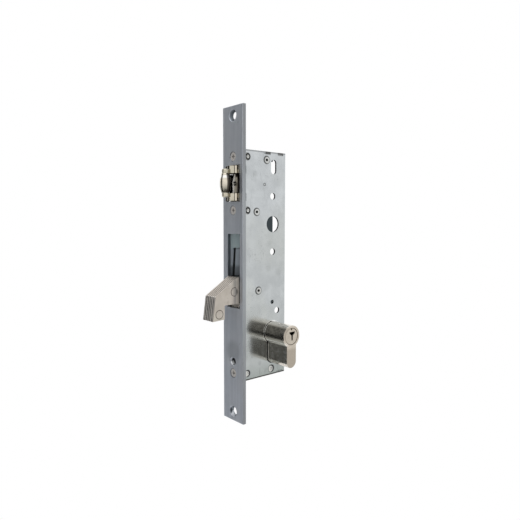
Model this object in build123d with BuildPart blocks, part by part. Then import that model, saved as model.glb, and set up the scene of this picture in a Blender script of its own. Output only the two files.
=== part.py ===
# Mortise lock for a sliding door: laminated hook, sprung roller latch and a double profile cylinder.
# Frame: +X is the key side seen first, +Y runs into the door, +Z runs up the faceplate.
# The origin is the centre of the faceplate's front face. All sizes are in millimetres.
import os
from math import atan, cos, degrees, pi, radians, sin, sqrt, tan

from build123d import *

os.makedirs("parts", exist_ok=True)

# Faceplate
plate_height = 238.0
plate_width = 24.0
plate_thick = 3.0
plate_edge_break = 0.25
fixing_spacing = 224.0
fixing_hole_dia = 5.5
fixing_sink_dia = 9.0

# Case of two sheet plates, open at the back
spacer_edge_room = 4.85
case_thick = 16.0
case_depth = 43.0
sheet = 1.5
bend_radius = 1.3
flange_setback = 1.0
tab_width = 5.5
tab_play = 0.2
front_tab_y = 26.8
rear_tab_y = 40.8
relief_depth = 3.0
relief_spans = ((45.0, 82.0), (-22.0, 20.0))

# Handle and cylinder centres
backset = 33.0
spindle_z = 32.0
centre_distance = 85.0
spindle_hole_dia = 12.6
handle_spacing = 43.0
handle_hole_dia = 5.2
oval_z = 76.0
oval_width = 5.5
oval_height = 11.2
small_hole_dia = 3.2
small_hole_place = (32.7, -29.1)
side_hole_dia = 5.0
side_hole_place = (37.8, -36.2)

# Rivets, posts and their fits
fit_gap = 0.05
running_gap = 0.06
rivet_neck_dia = 4.9
rivet_head_dia = 5.8
rivet_proud = 0.08
rivet_dimple_dia = 2.2
rivet_dimple_depth = 1.3
spacer_dia = 6.5
upper_spacers = ((26.6, 80.9), (16.7, 41.3))
lower_spacer_back = 1.0
lower_spacer_gap = 1.25
post_dia = 7.0
post_end_dia = 5.2
post_y = 7.7
post_heights = (82.0, 42.3, -81.8)
case_screw_dia = 3.9
case_screw_head = 6.4
case_screw_length = 10.0
case_screw_sunk = 0.5

# Hook of stacked plates
hook_layer = 2.1
hook_layers = 6
pivot_y = 18.5
pivot_z = -18.9
pivot_dia = 6.0
hook_swing = 92.0
hook_top = 11.5
hook_under = 8.5
hook_toe_reach = 41.6
hook_toe_drop = 19.5
hook_heel_drop = 18.9
hook_nose_reach = 39.1
hook_nose_drop = 1.73
beak_gap_reach = 30.9
hook_shoulder_reach = 18.2
hook_heel = 8.0
hook_root = (14.8, 5.5, 12.5, 11.6)
inner_hub = 4.9
hook_rivet_dia = 6.0
hook_rivet_proud = 0.08
hook_rivet_places = ((-21.8, 0.8), (-35.7, -14.7))
slot_near_edge = 8.4
slot_far_edge = -6.75
slot_top = 24.7
slot_bottom = -31.2

# Drive slide and its pins
slide_travel = 17.6
slide_thick = 3.6
drive_pin_dia = 3.6
drive_slot_play = 0.9
drive_slot_wall = 2.2
strap_half = 3.3
block_front = 11.6
block_top_gap = 0.9
guide_pin_dia = 3.0
guide_shoulder_dia = 5.0
guide_head_dia = 4.4
guide_head_thick = 0.9
guide_y = 14.4
guide_heights = (-50.0, -60.0)
guide_side_gap = 0.15

# Profile cylinder
cylinder_half = 30.0
cylinder_dia = 17.0
cylinder_height = 33.0
leg_width = 10.0
cylinder_play = 0.4
leg_play = 0.55
cylinder_shift = 0.1
cylinder_edge = 0.35
cam_gap_half = 5.0
cam_room = 15.7
plug_dia = 13.0
neck_dia = 9.0
lip_thick = 1.5
plug_end_gap = 0.2
cam_turn = 94.0
cam_tip_radius = 3.0
cam_hub_dia = 15.2
cam_half = 4.8
clip_dia = 11.6
clip_groove_dia = 8.0
clip_thick = 0.7
clutch_half = 1.1
chamber_dia = 3.0
chamber_places = (9.5, 13.5, 17.5, 21.5, 25.5)
cap_height = 1.6
cap_inset = 0.6
driver_length = 7.5
key_pin_tip = 2.7
keyway_depth = 24.0
cylinder_screw_hole = 4.2
cylinder_screw_drop = 19.8
screw_passage_dia = 5.3
screw_passage_sink = 6.8

# Roller latch
latch_z = 62.2
latch_travel = 6.0
latch_height = 25.6
latch_half_width = 8.0
latch_play = 0.3
latch_end_play = 0.6
latch_notch_gap = 0.15
latch_notch_play = 0.15
latch_block = 5.6
head_front = 0.6
head_rear = 0.3
nose_root = 5.6
nose_ridge = (4.4, 1.6)
nose_tip = (1.2, 3.8)
lug_thick = 3.2
lug_radius = 2.65
lug_edge_radius = 1.0
lug_neck_half = 1.7
web_half_width = 6.2
web_floor = 2.6
web_rear = 14.0
web_side_floor = 6.0
pad_half = 3.5
pad_top_half = 1.5
pad_slope = 5.5
stop_lip = 1.9
stop_lip_thick = 3.3
roller_reach = 6.7
roller_dia = 8.4
roller_end_dia = 5.8
roller_end_gap = 0.15
roller_pin_dia = 2.6
adjuster_dia = 2.5
adjuster_head = 3.3
spring_wire = 1.0
spring_mean_radius = 3.4
spring_turns = 6
spring_pocket_dia = 9.2
spring_floor = 7.0
rod_dia = 4.0
seat_y = 24.6
seat_thick = 2.8
seat_half_height = 6.0
seat_peg_dia = 2.4

# Places worked out from the sizes above
case_half = case_thick / 2
inner_half = case_half - sheet
case_back = plate_thick + case_depth
cylinder_z = spindle_z - centre_distance
leg_low = cylinder_z + cylinder_dia / 2 - cylinder_height
lower_spacer_z = leg_low - cylinder_play - lower_spacer_gap - spacer_dia / 2
spacer_places = (*upper_spacers, (backset - lower_spacer_back, lower_spacer_z))
case_height = 2 * (spacer_edge_room - lower_spacer_z)
case_top = case_height / 2
hook_half = hook_layer * hook_layers / 2
half_travel = slide_travel / 2
drive_offset = half_travel / tan(radians(hook_swing / 2))
drive_reach = sqrt(drive_offset**2 + half_travel**2)
drive_pin_y = pivot_y + drive_offset
drive_pin_z = pivot_z + half_travel
cam_tip_reach = half_travel / sin(radians(cam_turn / 2))
cam_reach = cam_tip_reach + cam_tip_radius
latch_top = latch_z + latch_height / 2
latch_bottom = latch_z - latch_height / 2
roller_half = latch_height / 2 - latch_block - roller_end_gap


def side_plane(x):
    """Plane across the lock at x, drawn with Y to the right and Z up."""
    return Plane.YZ.offset(x)


def front_plane(y):
    """Plane parallel to the faceplate at depth y, drawn with X to the right and Z up."""
    return Plane.XZ.offset(-y)


far_outside = Plane(origin=(-case_half, 0, 0), x_dir=(0, -1, 0), z_dir=(-1, 0, 0))
near_outside = Plane(origin=(case_half, 0, 0), x_dir=(0, 1, 0), z_dir=(1, 0, 0))


def turn_about_x(y, z, outline, mode=Mode.ADD):
    """Turned shape on the cross axis through y and z, from points of (x, radius)."""
    with BuildSketch(Plane(origin=(0, y, z), x_dir=(1, 0, 0), z_dir=(0, 0, 1))) as half:
        with BuildLine():
            Polyline(*outline, close=True)
        make_face()
    revolve(half.sketch, axis=Axis((0, y, z), (1, 0, 0)), mode=mode)


def turn_about_y(x, z, outline, mode=Mode.ADD):
    """Turned shape on the depth axis through x and z, from points of (radius, y)."""
    with BuildSketch(Plane(origin=(x, 0, z), x_dir=(1, 0, 0), z_dir=(0, 0, 1))) as half:
        with BuildLine():
            Polyline(*outline, close=True)
        make_face()
    revolve(half.sketch, axis=Axis((x, 0, z), (0, 1, 0)), mode=mode)


def rivet_hole(y, z, neck, head):
    """Countersunk hole through both case plates for a riveted end."""
    reach = case_half + 1.0
    flare = inner_half + sheet / 3
    slope = (head - neck) / 2 / (case_half - flare)
    wide = head / 2 + fit_gap + slope
    for side in (-1, 1):
        outline = (
            (side * (inner_half - 1.0), 0),
            (side * (inner_half - 1.0), neck / 2 + fit_gap),
            (side * flare, neck / 2 + fit_gap),
            (side * reach, wide),
            (side * reach, 0),
        )
        turn_about_x(y, z, outline, Mode.SUBTRACT)


def riveted_pin(y, z, middle, neck, head):
    """Cross pin with shoulders between the plates and riveted ends with centre marks."""
    outer = case_half + rivet_proud
    flare = inner_half + sheet / 3
    dimple = rivet_dimple_dia / 2 * head / rivet_head_dia
    floor = outer - rivet_dimple_depth
    outline = (
        (-floor, 0),
        (-outer, dimple),
        (-outer, head / 2),
        (-flare, neck / 2),
        (-inner_half, neck / 2),
        (-inner_half, middle / 2),
        (inner_half, middle / 2),
        (inner_half, neck / 2),
        (flare, neck / 2),
        (outer, head / 2),
        (outer, dimple),
        (floor, 0),
    )
    turn_about_x(y, z, outline)


def cylinder_profile(centre_y, play, leg_gap, mode):
    """Key-hole outline of the profile cylinder on a side plane."""
    radius = leg_width / 2 + leg_gap
    low = leg_low + leg_width / 2
    with Locations((centre_y, cylinder_z)):
        Circle(cylinder_dia / 2 + play, mode=mode)
    with Locations((centre_y, (cylinder_z + low) / 2)):
        Rectangle(2 * radius, cylinder_z - low, mode=mode)
    with Locations((centre_y, low)):
        Circle(radius, mode=mode)


def plate_openings():
    """Holes that both case plates share, in a side sketch."""
    with Locations((backset, spindle_z)):
        Circle(spindle_hole_dia / 2, mode=Mode.SUBTRACT)
    with Locations(
        (backset, spindle_z + handle_spacing / 2),
        (backset, spindle_z - handle_spacing / 2),
    ):
        Circle(handle_hole_dia / 2, mode=Mode.SUBTRACT)
    with Locations((backset + 0.8, oval_z)):
        SlotOverall(oval_height, oval_width, rotation=90, mode=Mode.SUBTRACT)
    with Locations(side_hole_place):
        Circle(side_hole_dia / 2, mode=Mode.SUBTRACT)
    with Locations((seat_y, latch_z)):
        Circle(seat_peg_dia / 2 + fit_gap, mode=Mode.SUBTRACT)
    cylinder_profile(backset - cylinder_shift, cylinder_play, leg_play, Mode.SUBTRACT)
    notch_rear = head_rear + latch_travel + latch_notch_gap
    notch_height = latch_block + 2 * latch_notch_play
    notch_offset = (latch_height - latch_block) / 2
    with Locations(
        ((plate_thick + notch_rear) / 2, latch_z + notch_offset),
        ((plate_thick + notch_rear) / 2, latch_z - notch_offset),
    ):
        Rectangle(notch_rear - plate_thick, notch_height, mode=Mode.SUBTRACT)


def cut_rivet_holes():
    """Countersunk holes of the rivets, posts and hook pivot."""
    for y, z in spacer_places:
        rivet_hole(y, z, rivet_neck_dia, rivet_head_dia)
    rivet_hole(pivot_y, pivot_z, rivet_neck_dia, rivet_head_dia)
    for z in post_heights:
        rivet_hole(post_y, z, post_end_dia - 0.7, post_end_dia)


# Faceplate with its openings and countersunk holes
with BuildPart() as faceplate:
    with BuildSketch(front_plane(plate_thick)):
        Rectangle(plate_width, plate_height)
        with Locations((0, latch_z)):
            Rectangle(
                2 * (latch_half_width + latch_play),
                latch_height + 2 * latch_end_play,
                mode=Mode.SUBTRACT,
            )
        with Locations(((slot_near_edge + slot_far_edge) / 2, (slot_top + slot_bottom) / 2)):
            Rectangle(slot_near_edge - slot_far_edge, slot_top - slot_bottom, mode=Mode.SUBTRACT)
    extrude(amount=plate_thick)
    rim = faceplate.faces().sort_by(Axis.Y)[0].outer_wire().edges()
    chamfer(rim, plate_edge_break)
    with Locations(front_plane(0)):
        with Locations((0, fixing_spacing / 2), (0, -fixing_spacing / 2)):
            CounterSinkHole(fixing_hole_dia / 2, fixing_sink_dia / 2, counter_sink_angle=90)
        with Locations((0, cylinder_z - cylinder_screw_drop)):
            CounterSinkHole(screw_passage_dia / 2, screw_passage_sink / 2, counter_sink_angle=90)
        with Locations(*[(0, z) for z in post_heights]):
            CounterSinkHole(
                case_screw_dia / 2 + fit_gap,
                case_screw_head / 2 + case_screw_sunk + fit_gap,
                counter_sink_angle=90,
            )
faceplate.part.label = "faceplate"

# Far side of the case with its folded ends and locating tabs
with BuildPart() as case_body:
    with BuildSketch(side_plane(-case_half)):
        with Locations((plate_thick + case_depth / 2, 0)):
            Rectangle(case_depth, case_height)
        for high, low in relief_spans:
            with Locations((case_back - relief_depth / 2, (high + low) / 2)):
                Rectangle(relief_depth, abs(high - low), mode=Mode.SUBTRACT)
        plate_openings()
        with Locations(*[(guide_y, z) for z in guide_heights]):
            Circle(guide_pin_dia / 2 + fit_gap, mode=Mode.SUBTRACT)
    extrude(amount=sheet)
    flange_depth = case_depth - flange_setback
    for end in (-1, 1):
        with BuildSketch(side_plane(-inner_half)):
            with Locations((plate_thick + flange_depth / 2, end * (case_top - sheet / 2))):
                Rectangle(flange_depth, sheet)
        extrude(amount=2 * inner_half)
    bend_edges = case_body.edges().filter_by(Axis.Y)
    bend_edges = bend_edges.group_by(Axis.X)[0]
    fillet([edge for edge in bend_edges if abs(abs(edge.center().Z) - case_top) < 0.01], bend_radius)
    for tab_y, end in ((front_tab_y, 1), (rear_tab_y, 1), (rear_tab_y, -1)):
        with BuildSketch(side_plane(inner_half)):
            with Locations((tab_y, end * (case_top - sheet / 2))):
                Rectangle(tab_width, sheet)
        extrude(amount=sheet)
    cut_rivet_holes()
case_body.part.label = "case_body"

# Near side of the case, notched over the tabs
with BuildPart() as case_cover:
    with BuildSketch(side_plane(inner_half)):
        with Locations((plate_thick + case_depth / 2, 0)):
            Rectangle(case_depth, case_height)
        plate_openings()
        with Locations(small_hole_place):
            Circle(small_hole_dia / 2, mode=Mode.SUBTRACT)
        for tab_y, end in ((front_tab_y, 1), (rear_tab_y, 1), (rear_tab_y, -1)):
            with Locations((tab_y, end * (case_top - sheet / 2))):
                Rectangle(tab_width + 2 * tab_play, sheet + 2 * tab_play, mode=Mode.SUBTRACT)
    extrude(amount=sheet)
    cut_rivet_holes()
case_cover.part.label = "case_cover"

# Spacer rivets that hold the two plates apart
with BuildPart() as spacer_rivets:
    for y, z in spacer_places:
        riveted_pin(y, z, spacer_dia, rivet_neck_dia, rivet_head_dia)
spacer_rivets.part.label = "spacer_rivets"

# Front posts, cross drilled for the faceplate screws
with BuildPart() as front_posts:
    for z in post_heights:
        riveted_pin(post_y, z, post_dia, post_end_dia - 0.7, post_end_dia)
    with Locations(front_plane(post_y - post_dia)):
        with Locations(*[(0, z) for z in post_heights]):
            Hole(case_screw_dia / 2 + fit_gap, depth=2 * post_dia)
front_posts.part.label = "front_posts"

# Countersunk screws that hold the faceplate on the posts
with BuildPart() as faceplate_screws:
    cone = (case_screw_head - case_screw_dia) / 2
    for z in post_heights:
        outline = (
            (0, case_screw_sunk),
            (case_screw_head / 2, case_screw_sunk),
            (case_screw_dia / 2, case_screw_sunk + cone),
            (case_screw_dia / 2, case_screw_length),
            (case_screw_dia / 2 - 0.5, case_screw_length + 0.5),
            (0, case_screw_length + 0.5),
        )
        turn_about_y(0, z, outline)
        with BuildSketch(front_plane(case_screw_sunk)):
            with Locations((0, z)):
                Rectangle(3.4, 0.9)
                Rectangle(0.9, 3.4)
        extrude(amount=-1.1, mode=Mode.SUBTRACT)
faceplate_screws.part.label = "faceplate_screws"

# Pivot pin of the hook, riveted into both plates
with BuildPart() as hook_pivot_pin:
    riveted_pin(pivot_y, pivot_z, pivot_dia, rivet_neck_dia, rivet_head_dia)
hook_pivot_pin.part.label = "hook_pivot_pin"


def beak_points():
    """Corners of the hook from the shoulder round the beak to the root behind the faceplate."""
    root_front, root_length, root_front_drop, root_rear_drop = hook_root
    return (
        (pivot_y - hook_shoulder_reach, pivot_z + hook_top),
        (pivot_y - hook_nose_reach, pivot_z - hook_nose_drop),
        (pivot_y - hook_toe_reach, pivot_z - hook_toe_drop),
        (pivot_y - beak_gap_reach, pivot_z - hook_heel_drop),
        (pivot_y - beak_gap_reach, pivot_z - hook_under),
        (pivot_y - root_front, pivot_z - hook_under),
        (pivot_y - root_front, pivot_z - root_front_drop),
        (pivot_y - root_front + root_length, pivot_z - root_rear_drop),
        (pivot_y - root_front + root_length, pivot_z - hook_under),
        (pivot_y, pivot_z - hook_under),
    )


def outer_hook_plate(label, x):
    """Hook plate with the tail and slot that the drive pin works in."""
    tail_angle = hook_swing / 2
    tail_radius = drive_pin_dia / 2 + drive_slot_play + drive_slot_wall
    tail_y = pivot_y + drive_reach * cos(radians(tail_angle))
    tail_z = pivot_z + drive_reach * sin(radians(tail_angle))
    slot_mid = (drive_reach + drive_offset) / 2
    slot_y = pivot_y + slot_mid * cos(radians(tail_angle))
    slot_z = pivot_z + slot_mid * sin(radians(tail_angle))
    with BuildPart() as blade:
        with BuildSketch(side_plane(x)):
            with BuildLine():
                Polyline(
                    *beak_points(),
                    (pivot_y + hook_heel, pivot_z),
                    (tail_y + tail_radius, tail_z),
                    (tail_y, tail_z + tail_radius),
                    (pivot_y - hook_heel, pivot_z + hook_top),
                    close=True,
                )
            make_face()
            with Locations((tail_y, tail_z)):
                Circle(tail_radius)
            with Locations((pivot_y, pivot_z)):
                Circle(hook_under)
                Circle(pivot_dia / 2 + running_gap, mode=Mode.SUBTRACT)
            with Locations((slot_y, slot_z)):
                SlotCenterToCenter(
                    drive_reach - drive_offset,
                    drive_pin_dia + 2 * drive_slot_play,
                    rotation=tail_angle,
                    mode=Mode.SUBTRACT,
                )
            hook_rivet_holes()
        extrude(amount=hook_layer)
    blade.part.label = label
    return blade


def inner_hook_plate(label, x):
    """Hook plate cut short behind the pivot, which leaves room for the drive slide."""
    with BuildPart() as blade:
        with BuildSketch(side_plane(x)):
            with BuildLine():
                Polyline(
                    *beak_points(),
                    (pivot_y + inner_hub * sin(pi / 4), pivot_z - inner_hub * sin(pi / 4)),
                    (pivot_y, pivot_z + inner_hub),
                    (pivot_y - inner_hub, pivot_z + hook_top),
                    close=True,
                )
            make_face()
            with Locations((pivot_y, pivot_z)):
                Circle(inner_hub)
                Circle(pivot_dia / 2 + running_gap, mode=Mode.SUBTRACT)
            hook_rivet_holes()
        extrude(amount=hook_layer)
    blade.part.label = label
    return blade


def hook_rivet_holes():
    """Holes of the two rivets through the stack, in a side sketch."""
    with Locations(*[(pivot_y + y, pivot_z + z) for y, z in hook_rivet_places]):
        Circle(hook_rivet_dia / 2 + fit_gap, mode=Mode.SUBTRACT)


# Hook plates, numbered from the far side to the key side
hook_plates = []
for layer in range(hook_layers):
    layer_x = -hook_half + layer * hook_layer
    middle = abs(layer_x + hook_layer / 2) < slide_thick / 2
    make_plate = inner_hook_plate if middle else outer_hook_plate
    hook_plates.append(make_plate(f"hook_plate_{layer + 1}", layer_x))

# Two rivets through the hook plates
with BuildPart() as hook_rivets:
    with BuildSketch(side_plane(-hook_half - hook_rivet_proud)):
        with Locations(*[(pivot_y + y, pivot_z + z) for y, z in hook_rivet_places]):
            Circle(hook_rivet_dia / 2)
    extrude(amount=2 * (hook_half + hook_rivet_proud))
    chamfer(hook_rivets.edges().filter_by(GeomType.CIRCLE), hook_rivet_proud / 2)
hook_rivets.part.label = "hook_rivets"

# Drive slide between the hook plates, moved by the cam and driving the hook through its pin
cam_hub_gap = 0.5
block_rear = backset - cam_hub_dia / 2 - cam_hub_gap
notch_floor = backset - cam_reach - cam_hub_gap
notch_half = cam_tip_radius + 0.6
notch_z = cylinder_z + half_travel
block_top = pivot_z - hook_under - block_top_gap
strap_top = drive_pin_z + strap_half
strap_front = drive_pin_y - strap_half
strap_rear = drive_pin_y + strap_half
notch_flare = 1.35
notch_flare_depth = 2.3
guide_slot_top = max(guide_heights) + slide_travel + guide_pin_dia / 2 + running_gap
guide_slot_low = min(guide_heights) - guide_pin_dia / 2 - running_gap
block_low = guide_slot_low - 2.4
with BuildPart() as drive_slide:
    with BuildSketch(side_plane(-slide_thick / 2)):
        with BuildLine():
            Polyline(
                (strap_front, strap_top),
                (strap_rear, strap_top),
                (strap_rear, block_top + 4.8),
                (block_rear, block_top - 1.2),
                (block_rear, notch_z + notch_half + notch_flare),
                (block_rear - notch_flare_depth, notch_z + notch_half),
                (notch_floor, notch_z + notch_half),
                (notch_floor, notch_z - notch_half),
                (block_rear - notch_flare_depth, notch_z - notch_half),
                (block_rear, notch_z - notch_half - notch_flare),
                (block_rear, notch_z - notch_half - 5.2),
                (notch_floor, notch_z - notch_half - 7.7),
                (notch_floor, block_low),
                (block_front, block_low),
                (block_front, block_top),
                (strap_front - 2.2, block_top),
                (strap_front, block_top + 2.2),
                close=True,
            )
        make_face()
        with Locations((drive_pin_y, drive_pin_z)):
            Circle(drive_pin_dia / 2 + fit_gap, mode=Mode.SUBTRACT)
        with Locations((guide_y, (guide_slot_top + guide_slot_low) / 2)):
            SlotOverall(
                guide_slot_top - guide_slot_low,
                guide_pin_dia + 2 * running_gap,
                rotation=90,
                mode=Mode.SUBTRACT,
            )
    extrude(amount=slide_thick)
drive_slide.part.label = "drive_slide"

# Drive pin carried by the slide and working in the hook slots
with BuildPart() as drive_pin:
    with BuildSketch(side_plane(-hook_half + 0.1)):
        with Locations((drive_pin_y, drive_pin_z)):
            Circle(drive_pin_dia / 2)
    extrude(amount=2 * (hook_half - 0.1))
drive_pin.part.label = "drive_pin"

# Shouldered pins on the far plate that guide the slide
with BuildPart() as slide_guide_pins:
    shoulder_x = -slide_thick / 2 - guide_side_gap
    head_x = slide_thick / 2 + guide_side_gap
    for z in guide_heights:
        outline = (
            (-case_half, 0),
            (-case_half, guide_pin_dia / 2),
            (-inner_half, guide_pin_dia / 2),
            (-inner_half, guide_shoulder_dia / 2),
            (shoulder_x, guide_shoulder_dia / 2),
            (shoulder_x, guide_pin_dia / 2),
            (head_x, guide_pin_dia / 2),
            (head_x, guide_head_dia / 2),
            (head_x + guide_head_thick, guide_head_dia / 2),
            (head_x + guide_head_thick, 0),
        )
        turn_about_x(guide_y, z, outline)
slide_guide_pins.part.label = "slide_guide_pins"

# Body of the double profile cylinder
chambers = [side * place for side in (-1, 1) for place in chamber_places]
with BuildPart() as cylinder_body:
    with BuildSketch(side_plane(-cylinder_half)):
        cylinder_profile(backset, 0, 0, Mode.ADD)
    extrude(amount=2 * cylinder_half)
    end_faces = cylinder_body.faces().sort_by(Axis.X)
    chamfer(end_faces[0].outer_wire().edges() + end_faces[-1].outer_wire().edges(), cylinder_edge)
    with BuildSketch(side_plane(-cam_gap_half)):
        with Locations((backset, cylinder_z)):
            Circle(cam_room)
    extrude(amount=2 * cam_gap_half, mode=Mode.SUBTRACT)
    with BuildSketch(side_plane(-cylinder_half)):
        with Locations((backset, cylinder_z)):
            Circle(neck_dia / 2 + fit_gap)
    extrude(amount=2 * cylinder_half, mode=Mode.SUBTRACT)
    for start in (-cylinder_half, cam_gap_half + lip_thick):
        with BuildSketch(side_plane(start)):
            with Locations((backset, cylinder_z)):
                Circle(plug_dia / 2 + running_gap)
        extrude(amount=cylinder_half - cam_gap_half - lip_thick, mode=Mode.SUBTRACT)
    with BuildSketch(Plane.XY.offset(leg_low - 1)):
        with Locations(*[(x, backset) for x in chambers]):
            Circle(chamber_dia / 2 + fit_gap)
    extrude(amount=cylinder_z - leg_low + 1, mode=Mode.SUBTRACT)
    with BuildSketch(front_plane(backset - leg_width)):
        with Locations((0, cylinder_z - cylinder_screw_drop)):
            Circle(cylinder_screw_hole / 2)
    extrude(amount=-2 * leg_width, mode=Mode.SUBTRACT)
cylinder_body.part.label = "cylinder_body"


def make_plug(label, side):
    """Turning plug with its keyway, a necked inner end and chambers for the key pins."""
    front = cylinder_half - plug_end_gap
    inner = cam_gap_half + lip_thick + fit_gap
    groove = cam_half - clip_thick - fit_gap
    outline = (
        (side * (clutch_half + fit_gap), 0),
        (side * (clutch_half + fit_gap), neck_dia / 2),
        (side * groove, neck_dia / 2),
        (side * groove, clip_groove_dia / 2),
        (side * (cam_half + fit_gap), clip_groove_dia / 2),
        (side * (cam_half + fit_gap), neck_dia / 2),
        (side * inner, neck_dia / 2),
        (side * inner, plug_dia / 2),
        (side * (front - 0.3), plug_dia / 2),
        (side * front, plug_dia / 2 - 0.3),
        (side * front, 0),
    )
    low = key_pin_tip + 0.5
    keyway = (
        (-2.3, 3.5),
        (3.6, 3.5),
        (3.3, 2.0),
        (1.5, 0.8),
        (1.3, -low),
        (0.1, -low),
        (-0.1, 0.8),
        (-1.7, 2.0),
    )
    with BuildPart() as plug:
        turn_about_x(backset, cylinder_z, outline)
        with BuildSketch(side_plane(side * (front - keyway_depth))):
            with BuildLine():
                Polyline(*[(backset + y, cylinder_z + z) for y, z in keyway], close=True)
            make_face()
        extrude(amount=side * (keyway_depth + 1), mode=Mode.SUBTRACT)
        with BuildSketch(side_plane(side * (front - 1.2))):
            with Locations((backset, cylinder_z + plug_dia / 2 - 1.0)):
                Circle(0.75)
        extrude(amount=side * 2, mode=Mode.SUBTRACT)
        with BuildSketch(Plane.XY.offset(cylinder_z - plug_dia)):
            with Locations(*[(side * x, backset) for x in chamber_places]):
                Circle(chamber_dia / 2 + fit_gap)
        extrude(amount=plug_dia - key_pin_tip, mode=Mode.SUBTRACT)
    plug.part.label = label
    return plug


near_plug = make_plug("near_plug", 1)
far_plug = make_plug("far_plug", -1)


def make_key_pins(label, side):
    """Row of coned key pins that lie in the plug."""
    chord = sqrt((plug_dia / 2) ** 2 - (chamber_dia / 2) ** 2)
    radius = chamber_dia / 2 - fit_gap
    with BuildPart() as pins:
        for x in chamber_places:
            with BuildSketch(Plane(origin=(side * x, backset, cylinder_z), x_dir=(1, 0, 0), z_dir=(0, -1, 0))):
                with BuildLine():
                    Polyline(
                        (0, -chord),
                        (radius, -chord),
                        (radius, -key_pin_tip - 1.3),
                        (0.5, -key_pin_tip - 0.3),
                        (0, -key_pin_tip - 0.3),
                        close=True,
                    )
                make_face()
            revolve(axis=Axis((side * x, backset, cylinder_z), (0, 0, 1)))
    pins.part.label = label
    return pins


near_key_pins = make_key_pins("near_key_pins", 1)
far_key_pins = make_key_pins("far_key_pins", -1)

# Driver pins under the plugs, standing at the shear line
driver_top = cylinder_z - plug_dia / 2 - 2 * running_gap
with BuildPart() as driver_pins:
    with BuildSketch(Plane.XY.offset(driver_top - driver_length)):
        with Locations(*[(x, backset) for x in chambers]):
            Circle(chamber_dia / 2 - fit_gap)
    extrude(amount=driver_length)
driver_pins.part.label = "driver_pins"

# Caps that close the pin chambers from below
with BuildPart() as chamber_caps:
    with BuildSketch(Plane.XY.offset(leg_low + cap_inset)):
        with Locations(*[(x, backset) for x in chambers]):
            Circle(chamber_dia / 2)
    extrude(amount=cap_height)
chamber_caps.part.label = "chamber_caps"

# Springs between the caps and the driver pins
pin_wire = 0.4
pin_spring_turns = 4
pin_spring_low = leg_low + cap_inset + cap_height + pin_wire / 2 + 0.1
pin_spring_high = driver_top - driver_length - pin_wire / 2 - 0.1
pin_spring_radius = chamber_dia / 2 - 2 * fit_gap - pin_wire / 2
pin_spring_height = pin_spring_high - pin_spring_low
pin_spring_pitch = pin_spring_height / pin_spring_turns
pin_helix = Helix(pin_spring_pitch, pin_spring_height, pin_spring_radius)
with BuildPart() as one_pin_spring:
    with BuildLine():
        add(pin_helix)
    with BuildSketch(Plane(origin=pin_helix @ 0, z_dir=pin_helix % 0)):
        Circle(pin_wire / 2)
    sweep()
with BuildPart() as pin_springs:
    for x in chambers:
        add(one_pin_spring.part.moved(Location((x, backset, pin_spring_low))))
pin_springs.part.label = "pin_springs"

# Cam in the middle of the cylinder, its tip in the notch of the slide
with BuildPart() as cylinder_cam:
    lift = cam_turn / 2
    tip_y = backset - cam_tip_reach * cos(radians(lift))
    tip_z = cylinder_z + cam_tip_reach * sin(radians(lift))
    with BuildSketch(side_plane(-cam_half)):
        with Locations((backset, cylinder_z)):
            Circle(cam_hub_dia / 2)
        with Locations(((backset + tip_y) / 2, (cylinder_z + tip_z) / 2)):
            SlotCenterToCenter(cam_tip_reach, 2 * cam_tip_radius, rotation=180 - lift)
        with Locations((backset, cylinder_z)):
            Circle(neck_dia / 2 + running_gap, mode=Mode.SUBTRACT)
    extrude(amount=2 * cam_half)
    for start in (-cam_half, cam_half - clip_thick - 2 * fit_gap):
        with BuildSketch(side_plane(start)):
            with Locations((backset, cylinder_z)):
                Circle(clip_dia / 2 + 0.3)
        extrude(amount=clip_thick + 2 * fit_gap, mode=Mode.SUBTRACT)
cylinder_cam.part.label = "cylinder_cam"

# Clutch disc between the two plug ends
with BuildPart() as clutch_disc:
    with BuildSketch(side_plane(-clutch_half)):
        with Locations((backset, cylinder_z)):
            Circle(neck_dia / 2)
            Rectangle(1.6, 5.0, mode=Mode.SUBTRACT)
    extrude(amount=2 * clutch_half)
clutch_disc.part.label = "clutch_disc"


def make_clip(label, side):
    """Open spring clip in the groove of a plug's neck."""
    start = side * (cam_half - clip_thick) if side > 0 else -cam_half
    with BuildPart() as clip:
        with BuildSketch(side_plane(start)):
            with Locations((backset, cylinder_z)):
                Circle(clip_dia / 2)
                Circle(clip_groove_dia / 2 + fit_gap, mode=Mode.SUBTRACT)
            with Locations((backset, cylinder_z + clip_dia / 2)):
                Rectangle(clip_groove_dia * 0.6, clip_dia, mode=Mode.SUBTRACT)
        extrude(amount=clip_thick)
    clip.part.label = label
    return clip


near_clip = make_clip("near_plug_clip", 1)
far_clip = make_clip("far_plug_clip", -1)

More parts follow.
